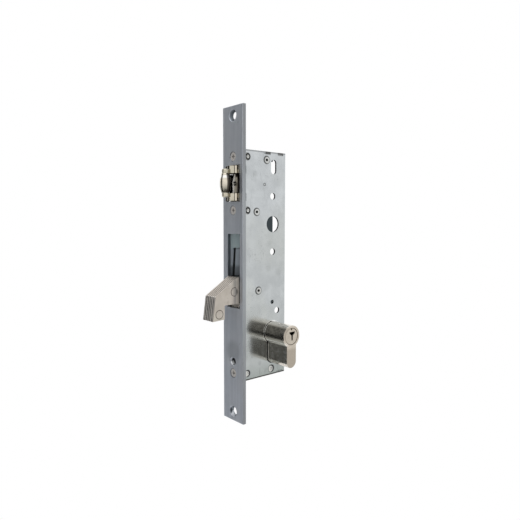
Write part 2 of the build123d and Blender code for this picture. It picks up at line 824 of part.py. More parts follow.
# Latch carrier: two nosed blocks with lugs, joined by a web that slides between the case plates
latch_ends = (
    (latch_top - latch_block, latch_top - latch_block, 1),
    (latch_bottom, latch_bottom + latch_block, -1),
)
pocket_half = latch_height / 2 - latch_block
ridge_x, ridge_y = nose_ridge[0], -nose_ridge[1]
tip_x, tip_y = nose_tip[0], -nose_tip[1]
shoulder_x = (nose_root + ridge_x) / 2 + 0.15
shoulder_y = (ridge_y - head_front) / 2 - 0.15
hollow_x = (ridge_x + tip_x) / 2 - 0.1
hollow_y = (ridge_y + tip_y) / 2 + 0.3
with BuildPart() as latch_carrier:
    for block_z, lug_z, end in latch_ends:
        with BuildSketch(Plane(origin=(0, -roller_reach, lug_z), x_dir=(1, 0, 0), z_dir=(0, -1, 0))):
            soft = lug_edge_radius
            edge_x = lug_radius - soft + soft * cos(pi / 4)
            edge_z = lug_thick - soft + soft * sin(pi / 4)
            with BuildLine():
                Polyline(
                    (lug_radius - soft, end * lug_thick),
                    (0, end * lug_thick),
                    (0, 0),
                    (lug_radius, 0),
                    (lug_radius, end * (lug_thick - soft)),
                )
                ThreePointArc(
                    (lug_radius, end * (lug_thick - soft)),
                    (edge_x, end * edge_z),
                    (lug_radius - soft, end * lug_thick),
                )
            make_face()
        revolve(axis=Axis((0, -roller_reach, lug_z), (0, 0, 1)))
        with BuildSketch(Plane.XY.offset(lug_z)):
            with Locations((0, (tip_y - roller_reach) / 2)):
                Rectangle(2 * lug_neck_half, roller_reach + tip_y + 1.0)
        extrude(amount=end * (lug_thick - soft / 3))
    for block_z, lug_z, end in latch_ends:
        with BuildSketch(Plane.XY.offset(block_z)):
            with BuildLine():
                Polyline(
                    (nose_root, -head_front),
                    (latch_half_width, -head_front),
                    (latch_half_width, head_rear),
                    (-latch_half_width, head_rear),
                    (-latch_half_width, -head_front),
                    (-nose_root, -head_front),
                )
                ThreePointArc((-nose_root, -head_front), (-shoulder_x, shoulder_y), (-ridge_x, ridge_y))
                ThreePointArc((-ridge_x, ridge_y), (-hollow_x, hollow_y), (-tip_x, tip_y))
                Line((-tip_x, tip_y), (tip_x, tip_y))
                ThreePointArc((tip_x, tip_y), (hollow_x, hollow_y), (ridge_x, ridge_y))
                ThreePointArc((ridge_x, ridge_y), (shoulder_x, shoulder_y), (nose_root, -head_front))
            make_face()
        extrude(amount=latch_block)
    with BuildSketch(Plane.XY.offset(latch_bottom)):
        with Locations((0, (head_rear + web_rear) / 2 - 0.1)):
            Rectangle(2 * web_half_width, web_rear - head_rear + 0.2)
    extrude(amount=latch_height)
    lip_front = plate_thick + 0.1
    with BuildSketch(Plane.XY.offset(latch_bottom - latch_end_play - stop_lip)):
        with Locations((0, lip_front + stop_lip_thick / 2)):
            Rectangle(2 * web_half_width, stop_lip_thick)
    extrude(amount=latch_height + 2 * (latch_end_play + stop_lip))
    with BuildSketch(front_plane(web_floor)):
        with Locations((0, latch_z)):
            Rectangle(3 * latch_half_width, 2 * pocket_half)
    extrude(amount=web_floor - head_rear + 0.3, mode=Mode.SUBTRACT)
    pad_low = latch_z - pocket_half
    pad_high = latch_z + pocket_half
    with BuildSketch(front_plane(web_side_floor)):
        with Locations((0, latch_z)):
            Rectangle(3 * latch_half_width, 2 * pocket_half)
        with BuildLine():
            Polyline(
                (-pad_half, pad_low),
                (pad_half, pad_low),
                (pad_half, pad_high - pad_slope),
                (pad_top_half, pad_high),
                (-pad_top_half, pad_high),
                (-pad_half, pad_high - pad_slope),
                close=True,
            )
        make_face(mode=Mode.SUBTRACT)
    extrude(amount=web_side_floor - head_rear + 0.3, mode=Mode.SUBTRACT)
    with BuildSketch(front_plane(web_rear)):
        with Locations((0, latch_z)):
            Circle(spring_pocket_dia / 2)
    extrude(amount=web_rear - spring_floor, mode=Mode.SUBTRACT)
    with BuildSketch(front_plane(web_floor)):
        with Locations((0, latch_z)):
            Circle(adjuster_dia / 2 + fit_gap)
    extrude(amount=web_floor - spring_floor, mode=Mode.SUBTRACT)
    with BuildSketch(Plane.XY.offset(latch_bottom - 1)):
        with Locations((0, -roller_reach)):
            Circle(roller_pin_dia / 2 + fit_gap)
    extrude(amount=latch_height + 2, mode=Mode.SUBTRACT)
latch_carrier.part.label = "latch_carrier"

# Barrel roller on its upright pin
with BuildPart() as latch_roller:
    with BuildSketch(Plane(origin=(0, -roller_reach, latch_z), x_dir=(1, 0, 0), z_dir=(0, -1, 0))):
        with BuildLine():
            bore = roller_pin_dia / 2 + running_gap
            Polyline(
                (roller_end_dia / 2, -roller_half),
                (bore, -roller_half),
                (bore, roller_half),
                (roller_end_dia / 2, roller_half),
            )
            ThreePointArc(
                (roller_end_dia / 2, roller_half),
                (roller_dia / 2, 0),
                (roller_end_dia / 2, -roller_half),
            )
        make_face()
    revolve(axis=Axis((0, -roller_reach, latch_z), (0, 0, 1)))
latch_roller.part.label = "latch_roller"

with BuildPart() as roller_pin:
    pin_half = latch_height / 2 - latch_block + lug_thick - 0.1
    with BuildSketch(Plane.XY.offset(latch_z - pin_half)):
        with Locations((0, -roller_reach)):
            Circle(roller_pin_dia / 2)
    extrude(amount=2 * pin_half)
roller_pin.part.label = "roller_pin"

# Slotted screw behind the roller
with BuildPart() as latch_adjuster:
    outline = (
        (0, web_floor - 0.9),
        (adjuster_head / 2, web_floor - 0.9),
        (adjuster_head / 2, web_floor),
        (adjuster_dia / 2, web_floor),
        (adjuster_dia / 2, spring_floor - 0.4),
        (0, spring_floor - 0.4),
    )
    turn_about_y(0, latch_z, outline)
    with BuildSketch(front_plane(web_floor - 0.9)):
        with Locations((0, latch_z)):
            Rectangle(adjuster_head + 1, 0.8)
    extrude(amount=-0.6, mode=Mode.SUBTRACT)
latch_adjuster.part.label = "latch_adjuster"

# Seat of the latch spring, pegged into both plates
seat_front = seat_y - seat_thick / 2
with BuildPart() as latch_spring_seat:
    with BuildSketch(side_plane(-inner_half + 0.1)):
        with Locations((seat_y, latch_z)):
            Rectangle(seat_thick, 2 * seat_half_height)
    extrude(amount=2 * (inner_half - 0.1))
    with BuildSketch(side_plane(-case_half)):
        with Locations((seat_y, latch_z)):
            Circle(seat_peg_dia / 2)
    extrude(amount=case_thick)
    with BuildSketch(front_plane(seat_front - 1)):
        with Locations((0, latch_z)):
            Circle(rod_dia / 2 + fit_gap)
    extrude(amount=-seat_thick - 2, mode=Mode.SUBTRACT)
latch_spring_seat.part.label = "latch_spring_seat"

# Rod that keeps the spring straight
rod_front = spring_floor + latch_travel + 1.0
with BuildPart() as spring_guide_rod:
    with BuildSketch(front_plane(rod_front)):
        with Locations((0, latch_z)):
            Circle(rod_dia / 2)
    extrude(amount=-(seat_y + seat_thick / 2 - rod_front))
    chamfer(spring_guide_rod.edges().group_by(Axis.Y)[0], 0.4)
spring_guide_rod.part.label = "spring_guide_rod"

# Compression spring that pushes the latch out
spring_length = seat_front - spring_floor - spring_wire - 0.1
spring_pitch = spring_length / spring_turns
spring_start = spring_floor + spring_wire / 2 + 0.05
latch_helix = Helix(
    spring_pitch,
    spring_length,
    spring_mean_radius,
    center=(0, spring_start, latch_z),
    direction=(0, 1, 0),
)
with BuildPart() as latch_spring:
    with BuildLine():
        add(latch_helix)
    with BuildSketch(Plane(origin=latch_helix @ 0, z_dir=latch_helix % 0)):
        Circle(spring_wire / 2)
    sweep()
latch_spring.part.label = "latch_spring"

print("latch spring least gap between turns", round(spring_pitch - spring_wire, 2))
print("pin spring least gap between turns", round(pin_spring_pitch - pin_wire, 2))

pieces = [
    faceplate,
    case_body,
    case_cover,
    spacer_rivets,
    front_posts,
    faceplate_screws,
    hook_pivot_pin,
    *hook_plates,
    hook_rivets,
    drive_slide,
    drive_pin,
    slide_guide_pins,
    cylinder_body,
    near_plug,
    far_plug,
    near_key_pins,
    far_key_pins,
    driver_pins,
    chamber_caps,
    pin_springs,
    cylinder_cam,
    clutch_disc,
    near_clip,
    far_clip,
    latch_carrier,
    latch_roller,
    roller_pin,
    latch_adjuster,
    latch_spring_seat,
    spring_guide_rod,
    latch_spring,
]
for piece in pieces:
    export_step(piece.part, f"parts/{piece.part.label}.step")
print("drive pin offset", round(drive_offset, 3), "cam tip reach", round(cam_tip_reach, 3))
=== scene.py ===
import math

import bpy
from mathutils import Matrix, Vector


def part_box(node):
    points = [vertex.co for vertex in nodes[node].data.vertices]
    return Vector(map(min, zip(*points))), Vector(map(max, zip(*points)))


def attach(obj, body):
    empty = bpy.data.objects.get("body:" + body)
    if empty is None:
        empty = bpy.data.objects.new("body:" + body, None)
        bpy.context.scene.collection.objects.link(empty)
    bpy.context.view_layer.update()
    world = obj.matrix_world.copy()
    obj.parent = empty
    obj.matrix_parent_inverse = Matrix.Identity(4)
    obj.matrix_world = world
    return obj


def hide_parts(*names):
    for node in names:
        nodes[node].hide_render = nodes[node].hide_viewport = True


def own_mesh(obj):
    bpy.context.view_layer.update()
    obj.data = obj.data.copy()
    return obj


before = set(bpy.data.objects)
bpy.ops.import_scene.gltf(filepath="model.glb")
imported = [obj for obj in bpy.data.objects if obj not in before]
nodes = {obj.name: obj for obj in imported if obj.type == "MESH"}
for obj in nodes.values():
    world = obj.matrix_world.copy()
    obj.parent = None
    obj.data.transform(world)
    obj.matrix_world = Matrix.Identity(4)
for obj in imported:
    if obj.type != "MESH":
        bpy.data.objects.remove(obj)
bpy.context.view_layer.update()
print("lock frame loaded,", len(nodes), "pieces")


def clearSelection():
    if bpy.context.object and bpy.context.object.mode != "OBJECT":
        bpy.ops.object.mode_set(mode="OBJECT")
    bpy.ops.object.select_all(action="DESELECT")


def toLinear(colour):  # 0 to 255 screen colour to the value a shader takes
    out = []
    for part in colour:
        part = part / 255.0
        out.append(part / 12.92 if part <= 0.04045 else ((part + 0.055) / 1.055) ** 2.4)
    return (out[0], out[1], out[2], 1.0)


# node helpers, in which a value is a number, a colour or another node's output
def feed(tree, socket, value):
    if isinstance(value, (int, float, tuple)):
        socket.default_value = value
    else:
        tree.links.new(value, socket)


def mathNode(tree, kind, *values, clamp=False):
    node = tree.nodes.new("ShaderNodeMath")
    node.operation = kind
    node.use_clamp = clamp
    for socket, value in zip(node.inputs, values):
        feed(tree, socket, value)
    return node.outputs[0]


def vectorNode(tree, kind, *values):
    node = tree.nodes.new("ShaderNodeVectorMath")
    node.operation = kind
    for socket, value in zip(node.inputs, values):
        feed(tree, socket, value)
    return node.outputs["Value" if kind == "LENGTH" else "Vector"]


def spread(tree, value, low, high, outLow=0.0, outHigh=1.0):  # soft step from one value to another
    node = tree.nodes.new("ShaderNodeMapRange")
    node.interpolation_type = "SMOOTHSTEP"
    labels = ("Value", "From Min", "From Max", "To Min", "To Max")
    for label, part in zip(labels, (value, low, high, outLow, outHigh)):
        feed(tree, node.inputs[label], part)
    return node.outputs["Result"]


def noiseNode(tree, vector, scale, detail, roughness):
    node = tree.nodes.new("ShaderNodeTexNoise")
    labels = ("Vector", "Scale", "Detail", "Roughness")
    for label, part in zip(labels, (vector, scale, detail, roughness)):
        feed(tree, node.inputs[label], part)
    return node.outputs["Fac"]


def blendColour(tree, factor, first, second, kind="MIX"):
    node = tree.nodes.new("ShaderNodeMix")
    node.data_type = "RGBA"
    node.blend_type = kind
    for index, value in ((0, factor), (6, first), (7, second)):  # 6 and 7 are the colour sockets
        feed(tree, node.inputs[index], value)
    return node.outputs[2]


# shared effects, each a node group with its own sockets
effects = {
    "streakScale": 0.22,
    "streakSpan": (0.35, 0.65),
    "cloudSpan": (0.3, 0.7),
    "patchScale": 0.31,
    "patchSpan": (0.42, 0.62),
    "zoneScale": 0.09,
    "zoneLift": 0.5,
    "speckSoftness": 0.08,
    "scratchTurns": ((0.5, 3.1), (-0.9, 7.7)),
    "scratchTilt": (1.0, 0.3, 0.6),
    "scratchStretch": (1.0, 1.0, 0.16),
    "gateScale": 70.0,
    "gateSpan": (0.52, 0.66),
}


def newGroup(name, starts, results):  # starts holds the first value of each input after the place
    group = bpy.data.node_groups.new(name, "ShaderNodeTree")
    group.interface.new_socket(name="Vector", in_out="INPUT", socket_type="NodeSocketVector")
    for label, start in starts.items():
        kind = "NodeSocketVector" if isinstance(start, tuple) else "NodeSocketFloat"
        socket = group.interface.new_socket(name=label, in_out="INPUT", socket_type=kind)
        socket.default_value = start
    for label in results:
        group.interface.new_socket(name=label, in_out="OUTPUT", socket_type="NodeSocketFloat")
    return group, group.nodes.new("NodeGroupInput").outputs, group.nodes.new("NodeGroupOutput").inputs


def makeBrushGrain():  # fine lines left by a belt or a drawing die
    group, given, leave = newGroup(
        "brushGrain", {"Across": (1, 1, 1), "Fineness": 900.0}, ("Lines", "Streaks")
    )
    scaled = vectorNode(group, "MULTIPLY", given["Vector"], given["Across"])
    lines = noiseNode(group, scaled, given["Fineness"], detail=4.0, roughness=0.6)
    coarse = mathNode(group, "MULTIPLY", given["Fineness"], effects["streakScale"])
    streaks = noiseNode(group, scaled, coarse, detail=2.0, roughness=0.5)
    group.links.new(lines, leave["Lines"])
    group.links.new(spread(group, streaks, *effects["streakSpan"]), leave["Streaks"])
    return group


def makeCloud():  # soft blotches of plating, thin in some places
    group, given, leave = newGroup("platingCloud", {"Scale": 60.0}, ("Cloud", "Patches"))
    cloud = noiseNode(group, given["Vector"], given["Scale"], detail=5.0, roughness=0.55)
    bigger = mathNode(group, "MULTIPLY", given["Scale"], effects["patchScale"])
    patches = noiseNode(group, given["Vector"], bigger, detail=2.0, roughness=0.5)
    group.links.new(spread(group, cloud, *effects["cloudSpan"]), leave["Cloud"])
    group.links.new(spread(group, patches, *effects["patchSpan"]), leave["Patches"])
    return group


def makeSpeck():  # small dark marks and pits
    group, given, leave = newGroup("wearSpeck", {"Scale": 400.0, "Rare": 0.7}, ("Speck",))
    fine = noiseNode(group, given["Vector"], given["Scale"], detail=2.0, roughness=0.6)
    where = mathNode(group, "MULTIPLY", given["Scale"], effects["zoneScale"])
    zones = noiseNode(group, given["Vector"], where, detail=2.0, roughness=0.5)
    both = mathNode(group, "MULTIPLY", fine, mathNode(group, "ADD", zones, effects["zoneLift"]))
    high = mathNode(group, "ADD", given["Rare"], effects["speckSoftness"])
    group.links.new(spread(group, both, given["Rare"], high), leave["Speck"])
    return group


def makeScratch():  # thin stray lines in two directions
    group, given, leave = newGroup("strayScratch", {"Scale": 30.0, "Width": 0.012}, ("Scratch",))
    gate = noiseNode(group, given["Vector"], effects["gateScale"], detail=1.0, roughness=0.5)
    gate = spread(group, gate, *effects["gateSpan"])
    fields = []
    for turn, shift in effects["scratchTurns"]:
        bend = group.nodes.new("ShaderNodeMapping")
        bend.inputs["Rotation"].default_value = [turn * part for part in effects["scratchTilt"]]
        bend.inputs["Location"].default_value = (shift, shift, shift)
        bend.inputs["Scale"].default_value = effects["scratchStretch"]
        group.links.new(given["Vector"], bend.inputs["Vector"])
        field = noiseNode(group, bend.outputs[0], given["Scale"], detail=1.0, roughness=0.4)
        away = mathNode(group, "ABSOLUTE", mathNode(group, "SUBTRACT", field, 0.5))
        line = mathNode(group, "SUBTRACT", 1.0, spread(group, away, 0.0, given["Width"]))
        fields.append(mathNode(group, "MULTIPLY", line, gate))
    group.links.new(mathNode(group, "MAXIMUM", *fields), leave["Scratch"])
    return group


def makeCrescent():  # a disc less a second disc, as the shadow on one side of a recess
    group, given, leave = newGroup(
        "crescentMark",
        {"Across": (0, 1, 1), "Centre": (0, 0, 0), "Shift": (0, 0, 0),
         "Radius": 0.003, "Inner": 0.0025, "Soft": 0.0002},
        ("Crescent",),
    )

    def reach(middle):
        away = vectorNode(group, "SUBTRACT", given["Vector"], middle)
        return vectorNode(group, "LENGTH", vectorNode(group, "MULTIPLY", away, given["Across"]))

    moved = vectorNode(group, "ADD", given["Centre"], given["Shift"])
    outerEnd = mathNode(group, "ADD", given["Radius"], given["Soft"])
    innerStart = mathNode(group, "SUBTRACT", given["Inner"], given["Soft"])
    inside = spread(group, reach(given["Centre"]), given["Radius"], outerEnd, 1.0, 0.0)
    beyond = spread(group, reach(moved), innerStart, given["Inner"])
    group.links.new(mathNode(group, "MULTIPLY", inside, beyond), leave["Crescent"])
    return group


brushGrain = makeBrushGrain()
platingCloud = makeCloud()
wearSpeck = makeSpeck()
strayScratch = makeScratch()
crescentMark = makeCrescent()


def placeGroup(tree, group, vector, **values):
    node = tree.nodes.new("ShaderNodeGroup")
    node.node_tree = group
    tree.links.new(vector, node.inputs["Vector"])
    for label, value in values.items():
        node.inputs[label].default_value = value
    return node


# one material being painted: its tree, the place on the piece, and the colour so far
# matt holds back the mirror where a zone is dull, rough adds a least roughness
def startPaint(tree):
    where = tree.nodes.new("ShaderNodeTexCoord").outputs["Object"]
    parts = tree.nodes.new("ShaderNodeSeparateXYZ")
    tree.links.new(where, parts.inputs[0])
    x, y, z = parts.outputs
    wide = mathNode(tree, "ABSOLUTE", x)
    return {
        "tree": tree, "where": where, "place": (x, y, z, wide),
        "colour": None, "matt": None, "rough": None,
    }


def rise(paint, value, span):  # 0 before the span, 1 after it
    return spread(paint["tree"], value, *span)


def fall(paint, value, span):  # 1 before the span, 0 after it
    return spread(paint["tree"], value, *span, 1.0, 0.0)


def times(paint, *parts):  # product of masks and numbers
    total = parts[0]
    for part in parts[1:]:
        total = mathNode(paint["tree"], "MULTIPLY", total, part)
    return total


def most(paint, first, second):
    return mathNode(paint["tree"], "MAXIMUM", first, second)


def between(paint, value, spans):  # rises over the first two numbers and falls over the last two
    return times(paint, rise(paint, value, spans[:2]), fall(paint, value, spans[2:]))


def gap(paint, value, middle):  # distance from a middle line
    return mathNode(paint["tree"], "ABSOLUTE", mathNode(paint["tree"], "SUBTRACT", value, middle))


def tint(paint, amount, tone):  # lays a tone, or another paint's colour, over the colour so far
    over = toLinear(tone) if isinstance(tone, tuple) else tone
    paint["colour"] = blendColour(paint["tree"], amount, paint["colour"], over)


def shade(paint, amount, tone):  # darkens and keeps the marks and clouds under it
    paint["colour"] = blendColour(paint["tree"], amount, paint["colour"], toLinear(tone), "MULTIPLY")


def markMask(paint, mark):
    node = placeGroup(
        paint["tree"], crescentMark, paint["where"], Across=mark.get("across", (0.0, 1.0, 1.0)),
        Centre=mark["centre"], Shift=mark.get("shift", (0.0, 0.0, 0.0)), Radius=mark["radius"],
        Inner=mark.get("inner", 0.0), Soft=mark["soft"],
    )
    return node.outputs["Crescent"]


def addMarks(paint, marks, **shared):  # dots, rings and crescents
    for mark in marks:
        mark = dict(shared, **mark)
        tint(paint, times(paint, markMask(paint, mark), mark["strength"]), mark["tone"])


relief = {"scratchRough": 0.12, "speckHeight": -1.5, "scratchHeight": -0.8}


def metalFinish(name, look):  # plated or brushed metal from one look dictionary
    material = bpy.data.materials.new(name)
    material.use_nodes = True
    tree = material.node_tree
    shader = tree.nodes["Principled BSDF"]
    paint = startPaint(tree)
    where = paint["where"]
    cloud = placeGroup(tree, platingCloud, where, Scale=look["cloudScale"]).outputs
    grain = placeGroup(
        tree, brushGrain, where, Across=look["grainAcross"], Fineness=look["grainFineness"]
    ).outputs
    speck = placeGroup(
        tree, wearSpeck, where, Scale=look["speckScale"], Rare=look["speckRare"]
    ).outputs["Speck"]
    scratch = placeGroup(
        tree, strayScratch, where, Scale=look["scratchScale"], Width=look["scratchWidth"]
    ).outputs["Scratch"]
    paint["colour"] = toLinear(look["shade"])
    tint(paint, cloud["Cloud"], look["colour"])
    for mask, amount, tone in (
        (cloud["Patches"], "tintAmount", "tint"),
        (grain["Streaks"], "streakAmount", "streak"),
        (speck, "speckAmount", "speckColour"),
        (scratch, "scratchAmount", "scratchColour"),
    ):
        tint(paint, times(paint, mask, look[amount]), look[tone])
    if look.get("zones"):
        look["zones"](paint, look)
    tree.links.new(paint["colour"], shader.inputs["Base Color"])
    rough = spread(tree, cloud["Cloud"], 0.0, 1.0, look["roughHigh"], look["roughLow"])
    rough = mathNode(tree, "ADD", rough, times(paint, grain["Lines"], look["grainRough"]))
    rough = mathNode(tree, "ADD", rough, times(paint, scratch, relief["scratchRough"]), clamp=True)
    if paint["rough"] is not None:
        rough = most(paint, rough, paint["rough"])
    tree.links.new(rough, shader.inputs["Roughness"])
    shader.inputs["Metallic"].default_value = look["metallic"]
    if paint["matt"] is not None:
        tree.links.new(mathNode(tree, "SUBTRACT", 1.0, paint["matt"]), shader.inputs["Metallic"])
    height = mathNode(tree, "ADD", grain["Lines"], times(paint, speck, relief["speckHeight"]))
    height = mathNode(tree, "ADD", height, times(paint, scratch, relief["scratchHeight"]))
    bump = tree.nodes.new("ShaderNodeBump")
    bump.inputs["Strength"].default_value = look["bump"]
    bump.inputs["Distance"].default_value = look["bumpDepth"]
    tree.links.new(height, bump.inputs["Height"])
    tree.links.new(bump.outputs["Normal"], shader.inputs["Normal"])
    return material


def dressNode(nodeName, material):  # a new finish on a frame piece that stays
    piece = nodes[nodeName]
    if not piece.material_slots:
        piece.data.materials.append(material)
    for slot in piece.material_slots:
        slot.material = material


copying = {"mergeReach": 0.000003, "flatAngle": 0.4, "faceWeight": 100}


def softEdged(nodeName, pieceName, body, material, edge):
    # a merged copy of a frame piece with its sharp edges broken
    clearSelection()
    piece = bpy.data.objects.new(pieceName, nodes[nodeName].data.copy())
    bpy.context.scene.collection.objects.link(piece)
    bpy.context.view_layer.objects.active = piece
    piece.select_set(True)
    bpy.ops.mesh.customdata_custom_splitnormals_clear()
    bpy.ops.object.mode_set(mode="EDIT")
    bpy.ops.mesh.select_all(action="SELECT")
    bpy.ops.mesh.remove_doubles(threshold=copying["mergeReach"])
    bpy.ops.mesh.dissolve_limited(angle_limit=math.radians(copying["flatAngle"]))
    bpy.ops.object.mode_set(mode="OBJECT")
    if edge["width"] > 0:
        rounding = piece.modifiers.new("brokenEdge", "BEVEL")
        rounding.width = edge["width"]
        rounding.segments = edge["segments"]
        rounding.limit_method = "ANGLE"
        rounding.angle_limit = math.radians(edge["fromAngle"])
        rounding.use_clamp_overlap = True
        bpy.ops.object.modifier_apply(modifier=rounding.name)
    lowest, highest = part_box(nodeName)
    for point in piece.data.vertices:  # a bevel never reaches past the piece it stands for
        for axis in range(3):
            point.co[axis] = min(max(point.co[axis], lowest[axis]), highest[axis])
    bpy.ops.object.shade_smooth_by_angle(angle=math.radians(edge["smoothAngle"]))
    flatten = piece.modifiers.new("flatFaces", "WEIGHTED_NORMAL")  # broad faces keep their true normal
    flatten.keep_sharp = True
    flatten.weight = copying["faceWeight"]
    bpy.ops.object.modifier_apply(modifier=flatten.name)
    piece.data.materials.clear()
    piece.data.materials.append(material)
    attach(piece, body)
    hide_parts(nodeName)
    return piece


# faceplate
screwHeights = (0.082, 0.0423, -0.0818)
faceOn = (1.0, 0.0, 1.0)  # a mark on the faceplate's front lies in X and Z
faceplateLook = {
    "colour": (204, 208, 214), "shade": (194, 199, 206), "tint": (196, 204, 216), "tintAmount": 0.4,
    "cloudScale": 55.0,
    "grainAcross": (1.0, 1.0, 0.03), "grainFineness": 1500.0, "grainRough": 0.06,
    "streak": (166, 172, 180), "streakAmount": 0.3,
    "speckScale": 900.0, "speckRare": 0.72, "speckAmount": 0.35, "speckColour": (100, 103, 108),
    "scratchScale": 26.0, "scratchWidth": 0.006, "scratchAmount": 0.2, "scratchColour": (168, 173, 180),
    "roughLow": 0.4, "roughHigh": 0.48, "metallic": 1.0, "bump": 0.1, "bumpDepth": 0.00004,
    "innerWidth": (0.0110, 0.0116),  # past this the outer edges stay as they are
    "wallDepth": (0.0003, 0.0011), "wallShadeTone": (128, 135, 140), "wallAmount": 0.85,
    "passage": {"centre": (0.0, 0.0, -0.0728), "across": faceOn, "shift": (0.0006, 0.0, 0.0006),
                "radius": 0.0034, "inner": 0.0018, "soft": 0.0003},
    "passageDepth": (0.0003, 0.0006, 0.0027, 0.0029), "passageLeft": (-0.0012, -0.0006),
    "passageLow": (-0.0732, -0.0726), "passageLightTone": (252, 254, 255), "passageMatt": 0.9,
    "sinkDepth": (0.0001, 0.0004),
    "topSink": (0.0980, 0.1000), "topSinkShadeTone": (184, 186, 188),
    "footSink": (-0.1000, -0.0980), "footLeft": (-0.0034, -0.0028), "footShadeTone": (140, 142, 145),
    "litAcross": (-0.0032, -0.0026, 0.0006, 0.0014), "litLow": (-0.1126, -0.1120),
    "litTone": (226, 230, 234), "litAmount": 0.8,
    "fades": (
        ((-0.0950, -0.0700), (246, 246, 247)),
        ((-0.1100, -0.0950), (246, 246, 247)),
    ),
    "sideWidth": (0.01188, 0.01196), "sideShadeTone": (160, 164, 167),
    "endSpan": (0.0450, 0.1000), "endShadeTone": (142, 145, 148),
    "screwShadeRing": {"radius": 0.0036, "inner": 0.0030, "soft": 0.0003, "strength": 0.8, "tone": (92, 94, 98)},
    "smudge": {"centre": (0.0, 0.0, -0.0650), "radius": 0.0050, "soft": 0.0060, "strength": 0.32,
               "tone": (120, 125, 132)},
}
faceplateEdge = {"width": 0.00012, "segments": 2, "fromAngle": 40, "smoothAngle": 35}


def faceplateZones(paint, look):
    x, y, z, wide = paint["place"]
    within = fall(paint, wide, look["innerWidth"])
    # painted shade: the walls of the openings are darker than the face
    tint(paint, times(paint, rise(paint, y, look["wallDepth"]), within, look["wallAmount"]), look["wallShadeTone"])
    # painted light: the far wall of the lower screw passage is painted bright where it catches the light
    passage = times(
        paint, fall(paint, x, look["passageLeft"]), between(paint, y, look["passageDepth"]),
        fall(paint, z, look["passageLow"]), markMask(paint, look["passage"]),
    )
    tint(paint, passage, look["passageLightTone"])
    paint["matt"] = times(paint, passage, look["passageMatt"])
    # countersinks of the fixing holes, with painted shade in the top and foot sinks and a painted highlight
    # on the lit part of the foot sink
    sunk = times(paint, rise(paint, y, look["sinkDepth"]), within)
    shade(paint, times(paint, sunk, rise(paint, z, look["topSink"])), look["topSinkShadeTone"])
    foot = times(paint, sunk, fall(paint, z, look["footSink"]))
    shade(paint, times(paint, foot, fall(paint, x, look["footLeft"])), look["footShadeTone"])
    lit = times(paint, foot, between(paint, x, look["litAcross"]), fall(paint, z, look["litLow"]))
    tint(paint, times(paint, lit, look["litAmount"]), look["litTone"])
    # painted shade: darker towards the bottom
    for span, tone in look["fades"]:
        shade(paint, fall(paint, z, span), tone)
    # painted shade on the side faces of the plate, darker near the ends
    side = rise(paint, wide, look["sideWidth"])
    tint(paint, side, look["sideShadeTone"])
    nearEnd = rise(paint, mathNode(paint["tree"], "ABSOLUTE", z), look["endSpan"])
    tint(paint, times(paint, side, nearEnd), look["endShadeTone"])
    # painted shade in a ring round each screw head
    rings = [dict(look["screwShadeRing"], centre=(0.0, 0.0, level)) for level in screwHeights]
    addMarks(paint, rings + [look["smudge"]], across=faceOn)


faceplateLook["zones"] = faceplateZones
faceplateSteel = metalFinish("faceplateSteel", faceplateLook)
softEdged("faceplate", "faceplateBar", "lock_case", faceplateSteel, faceplateEdge)
print("faceplate dressed")

# case sheets
rivetPlaces = {  # depth and height of each riveted end on the case sides
    "topSpacer": (0.0266, 0.0809),
    "midSpacer": (0.0167, 0.0413),
    "lowSpacer": (0.0320, -0.0824),
    "pivot": (0.0185, -0.0189),
    "topPost": (0.0077, 0.0820),
    "midPost": (0.0077, 0.0423),
    "lowPost": (0.0077, -0.0818),
}
postHead = 0.0026
spacerHead = 0.0029
lowRowLimit = -0.07  # rivets under this height lie in the shade of the cylinder
latchMiddle = 0.0622
caseLook = {
    "colour": (202, 206, 208), "shade": (185, 189, 191), "tint": (197, 200, 196), "tintAmount": 0.4,
    "cloudScale": 90.0,
    "grainAcross": (1.0, 1.0, 0.08), "grainFineness": 700.0, "grainRough": 0.05,
    "streak": (188, 192, 194), "streakAmount": 0.35,
    "speckScale": 620.0, "speckRare": 0.66, "speckAmount": 0.3, "speckColour": (140, 143, 144),
    "scratchScale": 38.0, "scratchWidth": 0.007, "scratchAmount": 0.3, "scratchColour": (158, 161, 162),
    "roughLow": 0.12, "roughHigh": 0.19, "metallic": 1.0, "bump": 0.06, "bumpDepth": 0.00003,
    "fades": (
        ((0.0100, 0.0500), (248, 248, 247)),
        ((-0.0800, -0.0200), (238, 239, 238)),
        ((-0.0870, -0.0740), (232, 235, 232)),
    ),
    "ring": {"soft": 0.00016, "tone": (104, 106, 107)},
    "ringOut": 0.00032, "ringIn": 0.0001, "ringStrength": 0.7, "lowRingStrength": 0.5,
    "cylinderRimHighlight": {"centre": (0.0, 0.0329, -0.0530), "radius": 0.0093, "inner": 0.0086, "soft": 0.0002,
                     "strength": 0.55, "tone": (244, 246, 246)},
    "smudgeTone": (128, 131, 131),
    "smudges": (  # depth, height, radius, softness, strength
        (0.0035, 0.0060, 0.0012, 0.0030, 0.20),
        (0.0150, 0.0700, 0.0010, 0.0022, 0.16),
        (0.0385, -0.0060, 0.0010, 0.0036, 0.20),
        (0.0290, -0.0020, 0.0010, 0.0028, 0.14),
        (0.0200, -0.0760, 0.0009, 0.0016, 0.22),
        (0.0410, -0.0800, 0.0012, 0.0020, 0.25),
        (0.0300, 0.0170, 0.0008, 0.0024, 0.12),
    ),
    "foot": (-0.0866, -0.0859), "edgeShadeTone": (64, 64, 60),
    "head": (0.0858, 0.0866), "headAmount": 0.55, "headTone": (104, 106, 107),
    "tabs": ((0.0250, 0.0256, 0.0304, 0.0310), (0.0380, 0.0386, 0.0434, 0.0440)),
    "tabHeight": (0.0846, 0.0856), "tabAmount": 0.8,
    "rearStart": (0.0452, 0.0456), "wallWidth": (0.00765, 0.0079), "wall": (112, 115, 116),
    "insideWidth": (0.00655, 0.0067), "inside": (62, 69, 72),
    "latchReach": (0.0142, 0.0146), "latchDepth": (0.0066, 0.0070), "latchWidth": (0.00775, 0.00785),
    "latchShadowTone": (24, 24, 24),
    "farWidth": (-0.00792, -0.00785), "farMatt": 0.7, "zoneMatt": 0.9,
}
